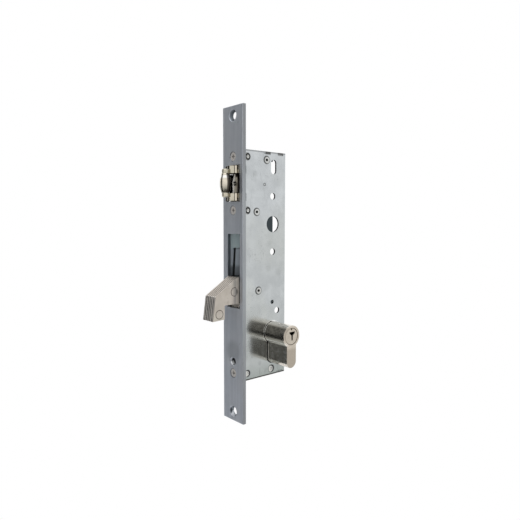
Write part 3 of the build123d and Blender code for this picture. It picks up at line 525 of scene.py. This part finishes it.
slotLook = {  # painted light and shade on the part of the far sheet seen through the hook's slot
    "depth": (0.0150, 0.0200), "height": (0.0300, 0.0340),
    "grey": (220, 228, 236), "green": (236, 252, 254), "greenFrom": (0.0120, 0.0150),
    "frontShade": (0.0034, 0.0076), "frontShadeTone": (202, 203, 204),
    "low": (-0.0020, 0.0015), "lowShadeTone": (198, 198, 198),
    "lowLeft": (0.0056, 0.0066), "lowLeftShadeTone": (222, 223, 224),
    "lip": (0.0123, 0.0128, 0.0135, 0.0140), "lipDepth": (0.0048, 0.0054), "lipShadeTone": (196, 197, 198),
    "lineSlant": -0.062, "line": (0.0047, 0.0053, 0.0068, 0.0074), "lineTop": (0.0134, 0.0144),
    "lineShadowTone": (40, 42, 42),
}
caseEdge = {"width": 0.00016, "segments": 2, "fromAngle": 40, "smoothAngle": 35}


def caseZones(paint, look):  # smudges, painted shade towards the bottom, round the rivet rims, on the edges, the inside and the cut walls and near the latch, a painted highlight round the cylinder, and the slot's painted light and shade
    x, y, z, wide = paint["place"]
    # painted shade: darker towards the bottom
    for span, tone in look["fades"]:
        shade(paint, fall(paint, z, span), tone)
    for depth, height, radius, soft, strength in look["smudges"]:
        smudge = {"centre": (0.0, depth, height), "radius": radius, "soft": soft, "strength": strength}
        addMarks(paint, [smudge], tone=look["smudgeTone"])
    # painted shade in a ring round each rivet end
    for name, (depth, height) in rivetPlaces.items():
        head = postHead if "Post" in name else spacerHead
        strength = look["lowRingStrength"] if height < lowRowLimit else look["ringStrength"]
        ring = dict(look["ring"], centre=(0.0, depth, height), radius=head + look["ringOut"])
        addMarks(paint, [ring], inner=head - look["ringIn"], strength=strength)
    # painted highlight on the rim round the cylinder
    addMarks(paint, [look["cylinderRimHighlight"]])
    # painted shade along the bottom and top edges of the sheets; the tab joints take the same dark tone
    tint(paint, fall(paint, z, look["foot"]), look["edgeShadeTone"])
    tint(paint, times(paint, rise(paint, z, look["head"]), look["headAmount"]), look["headTone"])
    for tab in look["tabs"]:
        mask = times(paint, between(paint, y, tab), rise(paint, z, look["tabHeight"]), look["tabAmount"])
        tint(paint, mask, look["edgeShadeTone"])
    # painted shade on the cut walls of the openings in the sheets
    wall = times(paint, fall(paint, wide, look["wallWidth"]), fall(paint, y, look["rearStart"]))
    tint(paint, wall, look["wall"])
    # painted shade on the inner faces of the sheets
    inner = fall(paint, wide, look["insideWidth"])
    tint(paint, inner, look["inside"])
    # painted shadow on the inside near the latch
    atLatch = times(
        paint, fall(paint, gap(paint, z, latchMiddle), look["latchReach"]),
        fall(paint, y, look["latchDepth"]), fall(paint, wide, look["latchWidth"]),
    )
    tint(paint, atLatch, look["latchShadowTone"])
    # painted light and shade where the far sheet shows through the slot
    seen = slotLightAndShade(paint, slotLook)
    bare = times(paint, inner, fall(paint, y, slotLook["depth"]), fall(paint, z, slotLook["height"]))
    tint(paint, bare, seen["colour"])
    farFace = times(paint, fall(paint, x, look["farWidth"]), look["farMatt"])
    paint["matt"] = times(paint, most(paint, bare, farFace), look["zoneMatt"])


def slotLightAndShade(paint, look):  # painted light in grey and green, painted shade by depth, a painted shadow line that leans and a shaded strip at the lip
    y, z = paint["place"][1:3]
    seen = dict(paint, colour=toLinear(look["grey"]))
    tint(seen, rise(seen, z, look["greenFrom"]), look["green"])
    shade(seen, fall(seen, y, look["frontShade"]), look["frontShadeTone"])
    low = fall(seen, z, look["low"])
    shade(seen, low, look["lowShadeTone"])
    shade(seen, times(seen, low, fall(seen, y, look["lowLeft"])), look["lowLeftShadeTone"])
    lip = times(seen, between(seen, z, look["lip"]), rise(seen, y, look["lipDepth"]))
    shade(seen, lip, look["lipShadeTone"])
    slant = mathNode(seen["tree"], "ADD", y, times(seen, z, look["lineSlant"]))
    line = times(seen, between(seen, slant, look["line"]), fall(seen, z, look["lineTop"]))
    tint(seen, line, look["lineShadowTone"])
    return seen


caseLook["zones"] = caseZones
caseZinc = metalFinish("caseZinc", caseLook)
softEdged("case_cover", "caseCoverSheet", "lock_case", caseZinc, caseEdge)
softEdged("case_body", "caseBodySheet", "lock_case", caseZinc, caseEdge)
print("case dressed")

# rivets, posts and pins
rivetLook = dict(
    caseLook, colour=(212, 212, 208), shade=(196, 196, 191), tint=(204, 202, 194), speckRare=0.62,
    roughLow=0.2, roughHigh=0.3,
    dished={"radius": 0.0024, "inner": 0.0014, "soft": 0.0002, "strength": 1.0, "tone": (34, 36, 36)},
    dishedAside=0.0003,
    dot={"radius": 0.0008, "soft": 0.0004, "strength": 1.0, "tone": (34, 36, 36)},
    dotAside=0.0004,
    crescentOut=0.0001, crescentIn=0.0004, crescentSoft=0.0002, crescentShadowTone=(54, 56, 56),
    crescentShift=(0.0, 0.0004, -0.0001), crescentStrength=0.85,
    lowCrescentShift=(0.0, -0.0009, -0.0001), lowCrescentStrength=0.95,
    bodyWidth=(0.0065, 0.0072), bodyShadeTone=(120, 122, 122),
)
rivetEdge = {"width": 0.00012, "segments": 2, "fromAngle": 30, "smoothAngle": 35}


def rivetZones(paint, look):  # painted shadow as a crescent in the recess, a dark centre mark, and painted shade on the bodies
    for name, (depth, height) in rivetPlaces.items():
        isPost = "Post" in name
        isLow = height < lowRowLimit
        if isPost and not isLow:  # a dished end with a painted shade ring
            addMarks(paint, [look["dished"]], centre=(0.0, depth + look["dishedAside"], height))
            continue
        head = postHead if isPost else spacerHead
        crescent = {
            "centre": (0.0, depth, height), "radius": head + look["crescentOut"],
            "inner": head - look["crescentIn"], "soft": look["crescentSoft"], "tone": look["crescentShadowTone"],
            "shift": look["lowCrescentShift" if isLow else "crescentShift"],
            "strength": look["lowCrescentStrength" if isLow else "crescentStrength"],
        }
        addMarks(paint, [crescent])
        if not isLow:
            addMarks(paint, [look["dot"]], centre=(0.0, depth + look["dotAside"], height))
    # painted shade on the rivet bodies between the sheets
    tint(paint, fall(paint, paint["place"][3], look["bodyWidth"]), look["bodyShadeTone"])


rivetLook["zones"] = rivetZones
rivetSteel = metalFinish("rivetSteel", rivetLook)
for nodeName, pieceName in (
    ("spacer_rivets", "spacerRivets"),
    ("front_posts", "frontPosts"),
    ("hook_pivot_pin", "hookPivotPin"),
):
    softEdged(nodeName, pieceName, "lock_case", rivetSteel, rivetEdge)
print("rivets dressed")

# faceplate screws
screwLook = dict(
    rivetLook, colour=(206, 200, 194), shade=(186, 180, 174), tint=(196, 190, 182),
    roughLow=0.26, roughHigh=0.36, metallic=0.35,
    dimple={"radius": 0.0007, "soft": 0.0006, "strength": 0.6, "tone": (96, 92, 88)},
)
screwEdge = {"width": 0.0001, "segments": 2, "fromAngle": 35, "smoothAngle": 35}


def screwZones(paint, look):  # shaded middle of each head
    dimples = [dict(look["dimple"], centre=(0.0, 0.0, level)) for level in screwHeights]
    addMarks(paint, dimples, across=faceOn)


screwLook["zones"] = screwZones
screwNickel = metalFinish("screwNickel", screwLook)
softEdged("faceplate_screws", "faceplateScrews", "lock_case", screwNickel, screwEdge)
print("screws dressed")

# hook stack
hookLook = {
    "colour": (197, 190, 181), "shade": (187, 180, 170), "tint": (193, 191, 177), "tintAmount": 0.4,
    "cloudScale": 130.0,
    "grainAcross": (1.0, 1.0, 1.0), "grainFineness": 900.0, "grainRough": 0.08,
    "streak": (180, 172, 162), "streakAmount": 0.3,
    "speckScale": 1100.0, "speckRare": 0.64, "speckAmount": 0.35, "speckColour": (128, 120, 112),
    "scratchScale": 60.0, "scratchWidth": 0.008, "scratchAmount": 0.3, "scratchColour": (150, 142, 134),
    "roughLow": 0.26, "roughHigh": 0.36, "metallic": 1.0, "bump": 0.16, "bumpDepth": 0.00004,
    "plates": 6, "layer": 0.0021, "layerShift": 10.0,  # the shift keeps the count above nought
    "wanderScale": 420.0, "wanderAmount": 0.22,
    "seamSpan": (0.29, 0.38), "seam": (34, 29, 26),
    "stackWidth": (0.00605, 0.0062), "bandAmount": 0.7, "band": (206, 197, 187),
    "frontSpan": (-0.0204, -0.0198), "frontLightBand": (255, 250, 244),
    "rivetShadeRing": {"radius": 0.0033, "inner": 0.0028, "soft": 0.0002, "strength": 1.0, "tone": (60, 53, 46)},
    "rivetSpots": ((-0.0033, -0.0181), (-0.0172, -0.0336)),
    "shelfDepth": (-0.0026, -0.0018, 0.0006, 0.0014), "shelfWidth": (0.0061, 0.0062),
    "shelfAmount": 0.9, "shelfTone": (198, 191, 181),
    "insideDepth": (0.0006, 0.0014), "insideShadeTone": (34, 32, 30),
    "rootDepth": (0.0030, 0.0034, 0.0041, 0.0044), "rootTop": (-0.0277, -0.0273),
    "rootLightTone": (252, 246, 236), "mottleScale": 900.0, "mottleSpan": (0.42, 0.5), "zoneMatt": 0.9,
}
hookEdge = {"width": 0.00020, "segments": 2, "fromAngle": 30, "smoothAngle": 30}


def hookZones(paint, look):  # dark seams between the plates, duller where they were sheared, with painted light on the front of the nose, painted shade round the rivets and behind the faceplate, and a painted reflection on the root
    x, y, z, wide = paint["place"]
    tree = paint["tree"]
    layers = mathNode(tree, "ADD", mathNode(tree, "DIVIDE", x, look["layer"]), look["layerShift"])
    fromMiddle = gap(paint, mathNode(tree, "FRACT", layers), 0.5)
    wander = noiseNode(tree, paint["where"], look["wanderScale"], detail=2.0, roughness=0.6)
    wander = times(paint, mathNode(tree, "SUBTRACT", wander, 0.5), look["wanderAmount"])
    edge = mathNode(tree, "ADD", fromMiddle, wander)
    stack = fall(paint, wide, look["stackWidth"])
    sheared = dict(paint, colour=toLinear(look["band"]))
    # painted light: the front of the nose is paler
    tint(sheared, fall(paint, y, look["frontSpan"]), look["frontLightBand"])
    tint(paint, times(paint, stack, look["bandAmount"]), sheared["colour"])
    tint(paint, times(paint, rise(paint, edge, look["seamSpan"]), stack), look["seam"])
    # painted shade in a ring round each rivet
    rings = [dict(look["rivetShadeRing"], centre=(0.0, depth, height)) for depth, height in look["rivetSpots"]]
    addMarks(paint, rings)
    # the strip of the arm that ends at the slot
    shelf = times(paint, between(paint, y, look["shelfDepth"]), rise(paint, wide, look["shelfWidth"]))
    tint(paint, times(paint, shelf, look["shelfAmount"]), look["shelfTone"])
    # painted shade on the hook behind the front of the faceplate
    tint(paint, rise(paint, y, look["insideDepth"]), look["insideShadeTone"])
    # painted reflection: the front of the root, seen under the arm, dark with bright mottled spots
    root = times(paint, between(paint, y, look["rootDepth"]), fall(paint, z, look["rootTop"]))
    mottle = noiseNode(tree, paint["where"], look["mottleScale"], detail=2.0, roughness=0.6)
    rootLight = dict(paint, colour=toLinear(look["seam"]))
    tint(rootLight, rise(paint, mottle, look["mottleSpan"]), look["rootLightTone"])
    tint(paint, root, rootLight["colour"])
    paint["matt"] = times(paint, most(paint, root, shelf), look["zoneMatt"])


hookLook["zones"] = hookZones
hookNickel = metalFinish("hookNickel", hookLook)
for number in range(1, hookLook["plates"] + 1):
    softEdged(f"hook_plate_{number}", f"hookPlate{number}", "hook", hookNickel, hookEdge)
hookRivetLook = dict(hookLook, colour=(196, 189, 180), shade=(184, 177, 168), zones=None)
hookRivetEdge = {"width": 0.00003, "segments": 1, "fromAngle": 30, "smoothAngle": 30}
hookRivetSteel = metalFinish("hookRivetSteel", hookRivetLook)
softEdged("hook_rivets", "hookRivets", "hook", hookRivetSteel, hookRivetEdge)
print("hook dressed")

# cylinder
cylinderLook = {
    "colour": (208, 201, 191), "shade": (199, 193, 183), "tint": (196, 188, 174), "tintAmount": 0.35,
    "cloudScale": 140.0,
    "grainAcross": (0.05, 1.0, 1.0), "grainFineness": 1400.0, "grainRough": 0.05,
    "streak": (172, 166, 156), "streakAmount": 0.25,
    "speckScale": 1000.0, "speckRare": 0.7, "speckAmount": 0.3, "speckColour": (122, 116, 106),
    "scratchScale": 50.0, "scratchWidth": 0.006, "scratchAmount": 0.2, "scratchColour": (150, 144, 134),
    "roughLow": 0.12, "roughHigh": 0.18, "metallic": 1.0, "bump": 0.08, "bumpDepth": 0.00003,
    "frontSpan": (0.0285, 0.0305),
    "bandSpan": (-0.0572, -0.0530, -0.0470, -0.0458), "bandReflectionTone": (84, 81, 75),
    "mottleScale": 650.0, "mottleSpan": (0.35, 0.65, 0.72, 1.0),
    "crownFrom": (-0.0462, -0.0452), "crownAmount": 0.8, "crownHighlightTone": (240, 235, 227),
    "glintSpan": (-0.0606, -0.0600, -0.0580, -0.0570), "highlightTone": (250, 247, 240),
    "patchScale": 480.0, "patchSpan": (0.46, 0.66), "patchTop": (-0.0608, -0.0602), "patchAmount": 0.6,
    "collarSpan": (0.0080, 0.0082, 0.0087, 0.0090), "collarAmount": 0.8,
    "endSpan": (0.02985, 0.02995), "endAmount": 0.7, "faceTone": (194, 184, 170),
    "legTop": (-0.0640, -0.0610), "legAmount": 0.8, "legTone": (166, 157, 144),
    "legRing": (0.0084, 0.0086, 0.0092, 0.0095), "legRingTop": (-0.0620, -0.0610), "legRingMatt": 0.5,
}
cylinderEdge = {"width": 0.00012, "segments": 2, "fromAngle": 25, "smoothAngle": 24}


def cylinderZones(paint, look):  # painted reflection and highlights on the front and top of the barrel; the ground ends are a little duller and warmer than the sides
    y, z, wide = paint["place"][1:]
    tree, where = paint["tree"], paint["where"]
    front = fall(paint, y, look["frontSpan"])
    mottle = noiseNode(tree, where, look["mottleScale"], detail=3.0, roughness=0.6)
    mottle = spread(tree, mottle, *look["mottleSpan"])
    # painted reflection: a dark mottled band on the front of the barrel
    tint(paint, times(paint, between(paint, z, look["bandSpan"]), front, mottle), look["bandReflectionTone"])
    # painted highlight on the top of the barrel
    tint(paint, times(paint, rise(paint, z, look["crownFrom"]), look["crownAmount"]), look["crownHighlightTone"])
    # painted glint low on the front of the barrel
    tint(paint, times(paint, between(paint, z, look["glintSpan"]), front), look["highlightTone"])
    # bright spots in the highlight tone on the front of the leg
    patches = noiseNode(tree, where, look["patchScale"], detail=3.0, roughness=0.6)
    patches = times(paint, rise(paint, patches, look["patchSpan"]), fall(paint, z, look["patchTop"]))
    tint(paint, times(paint, patches, front, look["patchAmount"]), look["highlightTone"])
    # painted highlight: a bright line where the cylinder leaves the case
    collar = times(paint, between(paint, wide, look["collarSpan"]), look["collarAmount"])
    tint(paint, collar, look["highlightTone"])
    ends = rise(paint, wide, look["endSpan"])
    tint(paint, times(paint, ends, look["endAmount"]), look["faceTone"])
    leg = times(paint, ends, fall(paint, z, look["legTop"]), look["legAmount"])
    tint(paint, leg, look["legTone"])
    legRing = times(paint, between(paint, wide, look["legRing"]), fall(paint, z, look["legRingTop"]))
    paint["matt"] = times(paint, legRing, look["legRingMatt"])


cylinderLook["zones"] = cylinderZones
cylinderNickel = metalFinish("cylinderNickel", cylinderLook)
softEdged("cylinder_body", "cylinderBody", "lock_case", cylinderNickel, cylinderEdge)
plugLook = dict(
    cylinderLook, colour=(200, 191, 178), shade=(188, 179, 165), roughLow=0.2, roughHigh=0.3,
    grainAcross=(1.0, 1.0, 1.0),
    joint={"centre": (0.0, 0.0330, -0.0530), "radius": 0.0070, "inner": 0.0062, "soft": 0.0003,
           "strength": 0.75, "tone": (110, 102, 92)},
    keywaySpan=(0.0280, 0.0294), keywayAmount=0.85, keywayTone=(58, 52, 46),
)


def plugZones(paint, look):  # dark joint round the plug and a shaded keyway
    addMarks(paint, [look["joint"]])
    deep = fall(paint, paint["place"][3], look["keywaySpan"])
    tint(paint, times(paint, deep, look["keywayAmount"]), look["keywayTone"])


plugLook["zones"] = plugZones
plugNickel = metalFinish("plugNickel", plugLook)
softEdged("near_plug", "nearPlug", "cam_and_near_plug", plugNickel, cylinderEdge)
softEdged("far_plug", "farPlug", "far_plug_set", plugNickel, cylinderEdge)
print("cylinder dressed")

# roller latch
latchLook = {
    "colour": (222, 213, 198), "shade": (200, 190, 174), "tint": (204, 202, 184), "tintAmount": 0.35,
    "cloudScale": 160.0,
    "grainAcross": (1.0, 1.0, 0.3), "grainFineness": 900.0, "grainRough": 0.04,
    "streak": (188, 177, 160), "streakAmount": 0.3,
    "speckScale": 1100.0, "speckRare": 0.68, "speckAmount": 0.4, "speckColour": (120, 112, 98),
    "scratchScale": 60.0, "scratchWidth": 0.008, "scratchAmount": 0.2, "scratchColour": (160, 150, 138),
    "roughLow": 0.1, "roughHigh": 0.16, "metallic": 1.0, "bump": 0.12, "bumpDepth": 0.00004,
    "recess": (44, 36, 31),
    "flankWidth": (0.0040, 0.0044), "flankDepth": (0.0, 0.0010),
    "flankAmount": 0.35, "flank": (168, 166, 146),
    "creaseAt": 0.0043, "creaseSpan": (0.00015, 0.00045), "creaseDepth": (-0.0012, -0.0008),
    "creaseAmount": 0.8,
    "shoulderSpan": (0.0057, 0.0061, 0.0074, 0.0078), "shoulderAmount": 0.8, "shoulder": (112, 108, 98),
    "pocketDepth": (0.0030, 0.0042), "pocketAmount": 0.85,
    "underLevel": (0.0073, 0.00745), "underDepth": (-0.0045, -0.0040), "underRough": 0.9,
    "padDepth": (0.0018, 0.0022, 0.0027, 0.0030), "padLevel": (0.0071, 0.0072), "padMatt": 0.9,
    "padMid": (210, 202, 184), "padBright": (255, 252, 244),
    "padLean": 0.1, "padLeft": (-0.0014, -0.0008),
    "gloomTop": (0.0664, 0.0676), "gloomRight": (-0.0004, 0.0006),
    "lowGloomTop": (0.0624, 0.0636), "lowGloomRight": (0.0008, 0.0018), "lowGloomAmount": 0.7,
    "farGloom": (0.0018, 0.0028),
}
latchEdge = {"width": 0.0002, "segments": 2, "fromAngle": 35, "smoothAngle": 40}


def latchZones(paint, look):  # painted shade on the pocket sides, in a crease on each nose and under the blocks, darker shoulders, and painted light and shade on the pad
    x, y, z, wide = paint["place"]
    flank = times(paint, fall(paint, wide, look["flankWidth"]), fall(paint, y, look["flankDepth"]))
    tint(paint, times(paint, flank, look["flankAmount"]), look["flank"])
    # painted shade in a crease on each nose
    crease = fall(paint, gap(paint, wide, look["creaseAt"]), look["creaseSpan"])
    crease = times(paint, crease, fall(paint, y, look["creaseDepth"]), look["creaseAmount"])
    tint(paint, crease, look["recess"])
    shoulder = times(paint, between(paint, wide, look["shoulderSpan"]), look["shoulderAmount"])
    tint(paint, shoulder, look["shoulder"])
    # painted shade deep in the pocket
    tint(paint, times(paint, rise(paint, y, look["pocketDepth"]), look["pocketAmount"]), look["recess"])
    # painted shade on the undersides of the two blocks
    level = gap(paint, z, latchMiddle)
    under = times(paint, fall(paint, level, look["underLevel"]), rise(paint, y, look["underDepth"]))
    tint(paint, under, look["recess"])
    paint["rough"] = times(paint, under, look["underRough"])
    # painted light and shade on the face of the pad behind the roller, bright on the left and in shadow
    # elsewhere
    tree = paint["tree"]
    lean = times(paint, mathNode(tree, "SUBTRACT", z, latchMiddle), look["padLean"])
    pad = dict(paint, colour=toLinear(look["padMid"]))
    tint(pad, fall(pad, mathNode(tree, "SUBTRACT", x, lean), look["padLeft"]), look["padBright"])
    gloom = times(pad, rise(pad, z, look["gloomTop"]), rise(pad, x, look["gloomRight"]))
    lowGloom = times(
        pad, fall(pad, z, look["lowGloomTop"]), rise(pad, x, look["lowGloomRight"]), look["lowGloomAmount"]
    )
    tint(pad, most(pad, most(pad, gloom, lowGloom), rise(pad, x, look["farGloom"])), look["recess"])
    face = times(paint, between(paint, y, look["padDepth"]), fall(paint, level, look["padLevel"]))
    tint(paint, face, pad["colour"])
    paint["matt"] = times(paint, face, look["padMatt"])


latchNickel = metalFinish("latchNickel", dict(latchLook, zones=latchZones))
softEdged("latch_carrier", "latchCarrier", "latch", latchNickel, latchEdge)
rollerLook = dict(
    latchLook, colour=(238, 228, 212), shade=(216, 206, 190), roughLow=0.14, roughHigh=0.2,
    lowSpan=(0.0565, 0.0645), lowAmount=0.8, lowShadeTone=(128, 126, 116),
    footSpan=(0.0550, 0.0580), footShadeTone=(212, 210, 204),
    crownSpan=(0.0650, 0.0664, 0.0672, 0.0684), crownHighlightTone=(255, 253, 248),
    rearSpan=(-0.0085, -0.0075), rearAmount=0.92,
)
rollerEdge = {"width": 0.00015, "segments": 2, "fromAngle": 35, "smoothAngle": 45}


def rollerZones(paint, look):  # painted reflections: darker low down with painted shade at the foot, a painted highlight near the top, and the side towards the pocket painted dark as it mirrors the dark inside
    y, z = paint["place"][1:3]
    tint(paint, times(paint, fall(paint, z, look["lowSpan"]), look["lowAmount"]), look["lowShadeTone"])
    shade(paint, fall(paint, z, look["footSpan"]), look["footShadeTone"])
    tint(paint, between(paint, z, look["crownSpan"]), look["crownHighlightTone"])
    tint(paint, times(paint, rise(paint, y, look["rearSpan"]), look["rearAmount"]), look["recess"])


rollerLook["zones"] = rollerZones
rollerNickel = metalFinish("rollerNickel", rollerLook)
softEdged("latch_roller", "latchRoller", "roller", rollerNickel, rollerEdge)
adjusterLook = dict(screwLook, headTone=(30, 25, 20), slitTone=(150, 144, 128), slitDepth=(0.0020, 0.0022))


def adjusterZones(paint, look):  # a dark head, the floor of its slit painted lighter
    paint["colour"] = toLinear(look["headTone"])
    tint(paint, rise(paint, paint["place"][1], look["slitDepth"]), look["slitTone"])


adjusterLook["zones"] = adjusterZones
dressNode("latch_adjuster", metalFinish("adjusterNickel", adjusterLook))
print("latch dressed")

# inner steel, springs and pins
innerLook = dict(caseLook, colour=(132, 136, 137), shade=(112, 116, 117), speckRare=0.64, zones=None)
innerSteel = metalFinish("innerSteel", innerLook)
for nodeName in (
    "drive_slide",
    "drive_pin",
    "slide_guide_pins",
    "cylinder_cam",
    "clutch_disc",
    "roller_pin",
    "spring_guide_rod",
):
    dressNode(nodeName, innerSteel)
seatLook = dict(
    innerLook, colour=(196, 198, 197), shade=(184, 186, 185),
    joint={"centre": (0.0, 0.0246, latchMiddle), "radius": 0.0013, "inner": 0.0008, "soft": 0.0002,
           "strength": 0.85, "tone": (92, 95, 98)},
)


def seatZones(paint, look):  # dark joint round each peg
    addMarks(paint, [look["joint"]])


seatLook["zones"] = seatZones
dressNode("latch_spring_seat", metalFinish("seatSteel", seatLook))
springLook = dict(innerLook, colour=(140, 141, 142), shade=(112, 113, 114), roughLow=0.2, roughHigh=0.32)
springSteel = metalFinish("springSteel", springLook)
for nodeName in ("pin_springs", "near_plug_clip", "far_plug_clip"):
    dressNode(nodeName, springSteel)

# the latch's spring shortens between its seat and the sliding block; here it is dressed and given a mesh of
# its own
latchSpring = softEdged(
    "latch_spring", "latchSpring", "lock_case", springSteel, {"width": 0.0, "smoothAngle": 40}
)
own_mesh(latchSpring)
brassLook = dict(
    cylinderLook, colour=(214, 186, 124), shade=(196, 166, 104), tint=(206, 172, 110),
    streak=(180, 150, 92), zones=None,
)
pinBrass = metalFinish("pinBrass", brassLook)
for nodeName in ("near_key_pins", "far_key_pins", "driver_pins", "chamber_caps"):
    dressNode(nodeName, pinBrass)
print("inner pieces dressed")

# studio
cardFade = {"tone": 0.29, "topTone": 0.62}
studio = {
    "worldLight": 0.75,
    "backdrop": 1.0,
    "floorSize": 8.0,
    "floorHeight": -0.36,
    "floorTone": 0.82,
    "lamp": {"name": "topSoftbox", "place": (0.25, -0.35, 1.3), "size": 1.0, "power": 4.5},
    "cardRoughness": 0.9,
    "cardFadeSpan": (0.3, 0.5),
    "cards": (
        {"name": "leftCard", "place": (-0.43, -0.385, 0.12), "wide": 0.20, "high": 0.95, "tone": 0.03},
        {"name": "frontCard", "place": (-0.263, -0.540, 0.12), "wide": 0.24, "high": 0.95, "tone": 0.05},
        dict(cardFade, name="rightCard", place=(0.300, -0.235, -0.20), wide=0.36, high=0.21),
        dict(cardFade, name="middleCard", place=(0.052, -0.376, -0.21), wide=0.34, high=0.19),
        dict(cardFade, name="farRightCard", place=(0.380, -0.020, -0.21), wide=0.18, high=0.19),
    ),
}


def grey(level):
    return (level, level, level, 1.0)


def shaderNode(tree, kind, **values):
    node = tree.nodes.new(kind)
    for label, value in values.items():
        node.inputs[label].default_value = value
    return node


def whiteForEye(tree, lit, seen, ending):  # the plain white is for camera, glossy and transmission rays
    path = tree.nodes.new("ShaderNodeLightPath")
    rays = mathNode(tree, "MAXIMUM", path.outputs["Is Camera Ray"], path.outputs["Is Glossy Ray"])
    rays = mathNode(tree, "MAXIMUM", rays, path.outputs["Is Transmission Ray"])
    mix = tree.nodes.new("ShaderNodeMixShader")
    tree.links.new(rays, mix.inputs[0])
    tree.links.new(lit.outputs[0], mix.inputs[1])
    tree.links.new(seen.outputs[0], mix.inputs[2])
    tree.links.new(mix.outputs[0], tree.nodes.new(ending).inputs["Surface"])


world = bpy.data.worlds.new("softStudio")
bpy.context.scene.world = world
world.use_nodes = True
skyTree = world.node_tree
skyTree.nodes.clear()
skyLight = shaderNode(skyTree, "ShaderNodeBackground", Color=grey(1.0), Strength=studio["worldLight"])
skySeen = shaderNode(skyTree, "ShaderNodeBackground", Color=grey(1.0), Strength=studio["backdrop"])
whiteForEye(skyTree, skyLight, skySeen, "ShaderNodeOutputWorld")

clearSelection()
bpy.ops.mesh.primitive_plane_add(size=studio["floorSize"], location=(0, 0, studio["floorHeight"]))
floor = bpy.context.object
floor.name = "paleFloor"
floorPaint = bpy.data.materials.new("paleFloorPaint")
floorPaint.use_nodes = True
floorTree = floorPaint.node_tree
floorTree.nodes.clear()
floorMatt = shaderNode(floorTree, "ShaderNodeBsdfDiffuse", Color=grey(studio["floorTone"]))
floorSeen = shaderNode(floorTree, "ShaderNodeEmission", Color=grey(1.0))
whiteForEye(floorTree, floorMatt, floorSeen, "ShaderNodeOutputMaterial")
floor.data.materials.append(floorPaint)

lamp = studio["lamp"]
lampData = bpy.data.lights.new(lamp["name"], "AREA")
lampData.shape = "SQUARE"
lampData.size = lamp["size"]
lampData.energy = lamp["power"]
lampHolder = bpy.data.objects.new(lamp["name"], lampData)
bpy.context.scene.collection.objects.link(lampHolder)
lampHolder.location = lamp["place"]
lampHolder.rotation_euler = (-Vector(lamp["place"])).to_track_quat("-Z", "Y").to_euler()

for card in studio["cards"]:
    clearSelection()
    bpy.ops.mesh.primitive_plane_add(size=1.0, location=card["place"])
    panel = bpy.context.object
    panel.name = card["name"]
    panel.scale = (card["wide"], card["high"], 1.0)
    flat = Vector((-card["place"][0], -card["place"][1], 0.0))
    panel.rotation_euler = flat.to_track_quat("Z", "Y").to_euler()
    cardPaint = bpy.data.materials.new(card["name"] + "Paint")
    cardPaint.use_nodes = True
    cardTree = cardPaint.node_tree
    cardShader = cardTree.nodes["Principled BSDF"].inputs
    cardShader["Base Color"].default_value = grey(card["tone"])
    cardShader["Roughness"].default_value = studio["cardRoughness"]
    if "topTone" in card:  # paler towards the top, as a wall that catches the light
        upward = spread(cardTree, startPaint(cardTree)["place"][1], *studio["cardFadeSpan"])
        fade = blendColour(cardTree, upward, grey(card["tone"]), grey(card["topTone"]))
        cardTree.links.new(fade, cardShader["Base Color"])
    panel.data.materials.append(cardPaint)
    panel.visible_camera = False
    panel.visible_diffuse = False
    panel.visible_shadow = False
print("studio set")

# camera, solved from the photograph
eye = {
    "focal": 509.63,  # in pixels of a picture 520 wide
    "pictureWidth": 520.0,
    "sensorWidth": 36.0,
    "yaw": 0.863,
    "pitch": 0.079,
    "roll": 0.002,
    "across": -0.020444,
    "up": -0.005087,
    "away": 0.384122,
    "nearest": 0.01,
    "farthest": 50.0,
}
right = Vector((math.cos(eye["yaw"]), math.sin(eye["yaw"]), 0.0))
ahead = Vector((
    -math.sin(eye["yaw"]) * math.cos(eye["pitch"]),
    math.cos(eye["yaw"]) * math.cos(eye["pitch"]),
    -math.sin(eye["pitch"]),
))
above = right.cross(ahead)
rolledRight = right * math.cos(eye["roll"]) + above * math.sin(eye["roll"])
rolledUp = above * math.cos(eye["roll"]) - right * math.sin(eye["roll"])
place = -(rolledRight * eye["across"] + rolledUp * eye["up"] + ahead * eye["away"])
lens = bpy.data.cameras.new("photoCamera")
lens.sensor_width = eye["sensorWidth"]
lens.lens = eye["focal"] / eye["pictureWidth"] * eye["sensorWidth"]
lens.clip_start = eye["nearest"]
lens.clip_end = eye["farthest"]
camera = bpy.data.objects.new("photoCamera", lens)
bpy.context.scene.collection.objects.link(camera)
turn = Matrix((rolledRight, rolledUp, -ahead)).transposed().to_4x4()
camera.matrix_world = Matrix.Translation(place) @ turn
bpy.context.scene.camera = camera
bpy.context.scene.view_settings.view_transform = "Standard"
print("camera set")
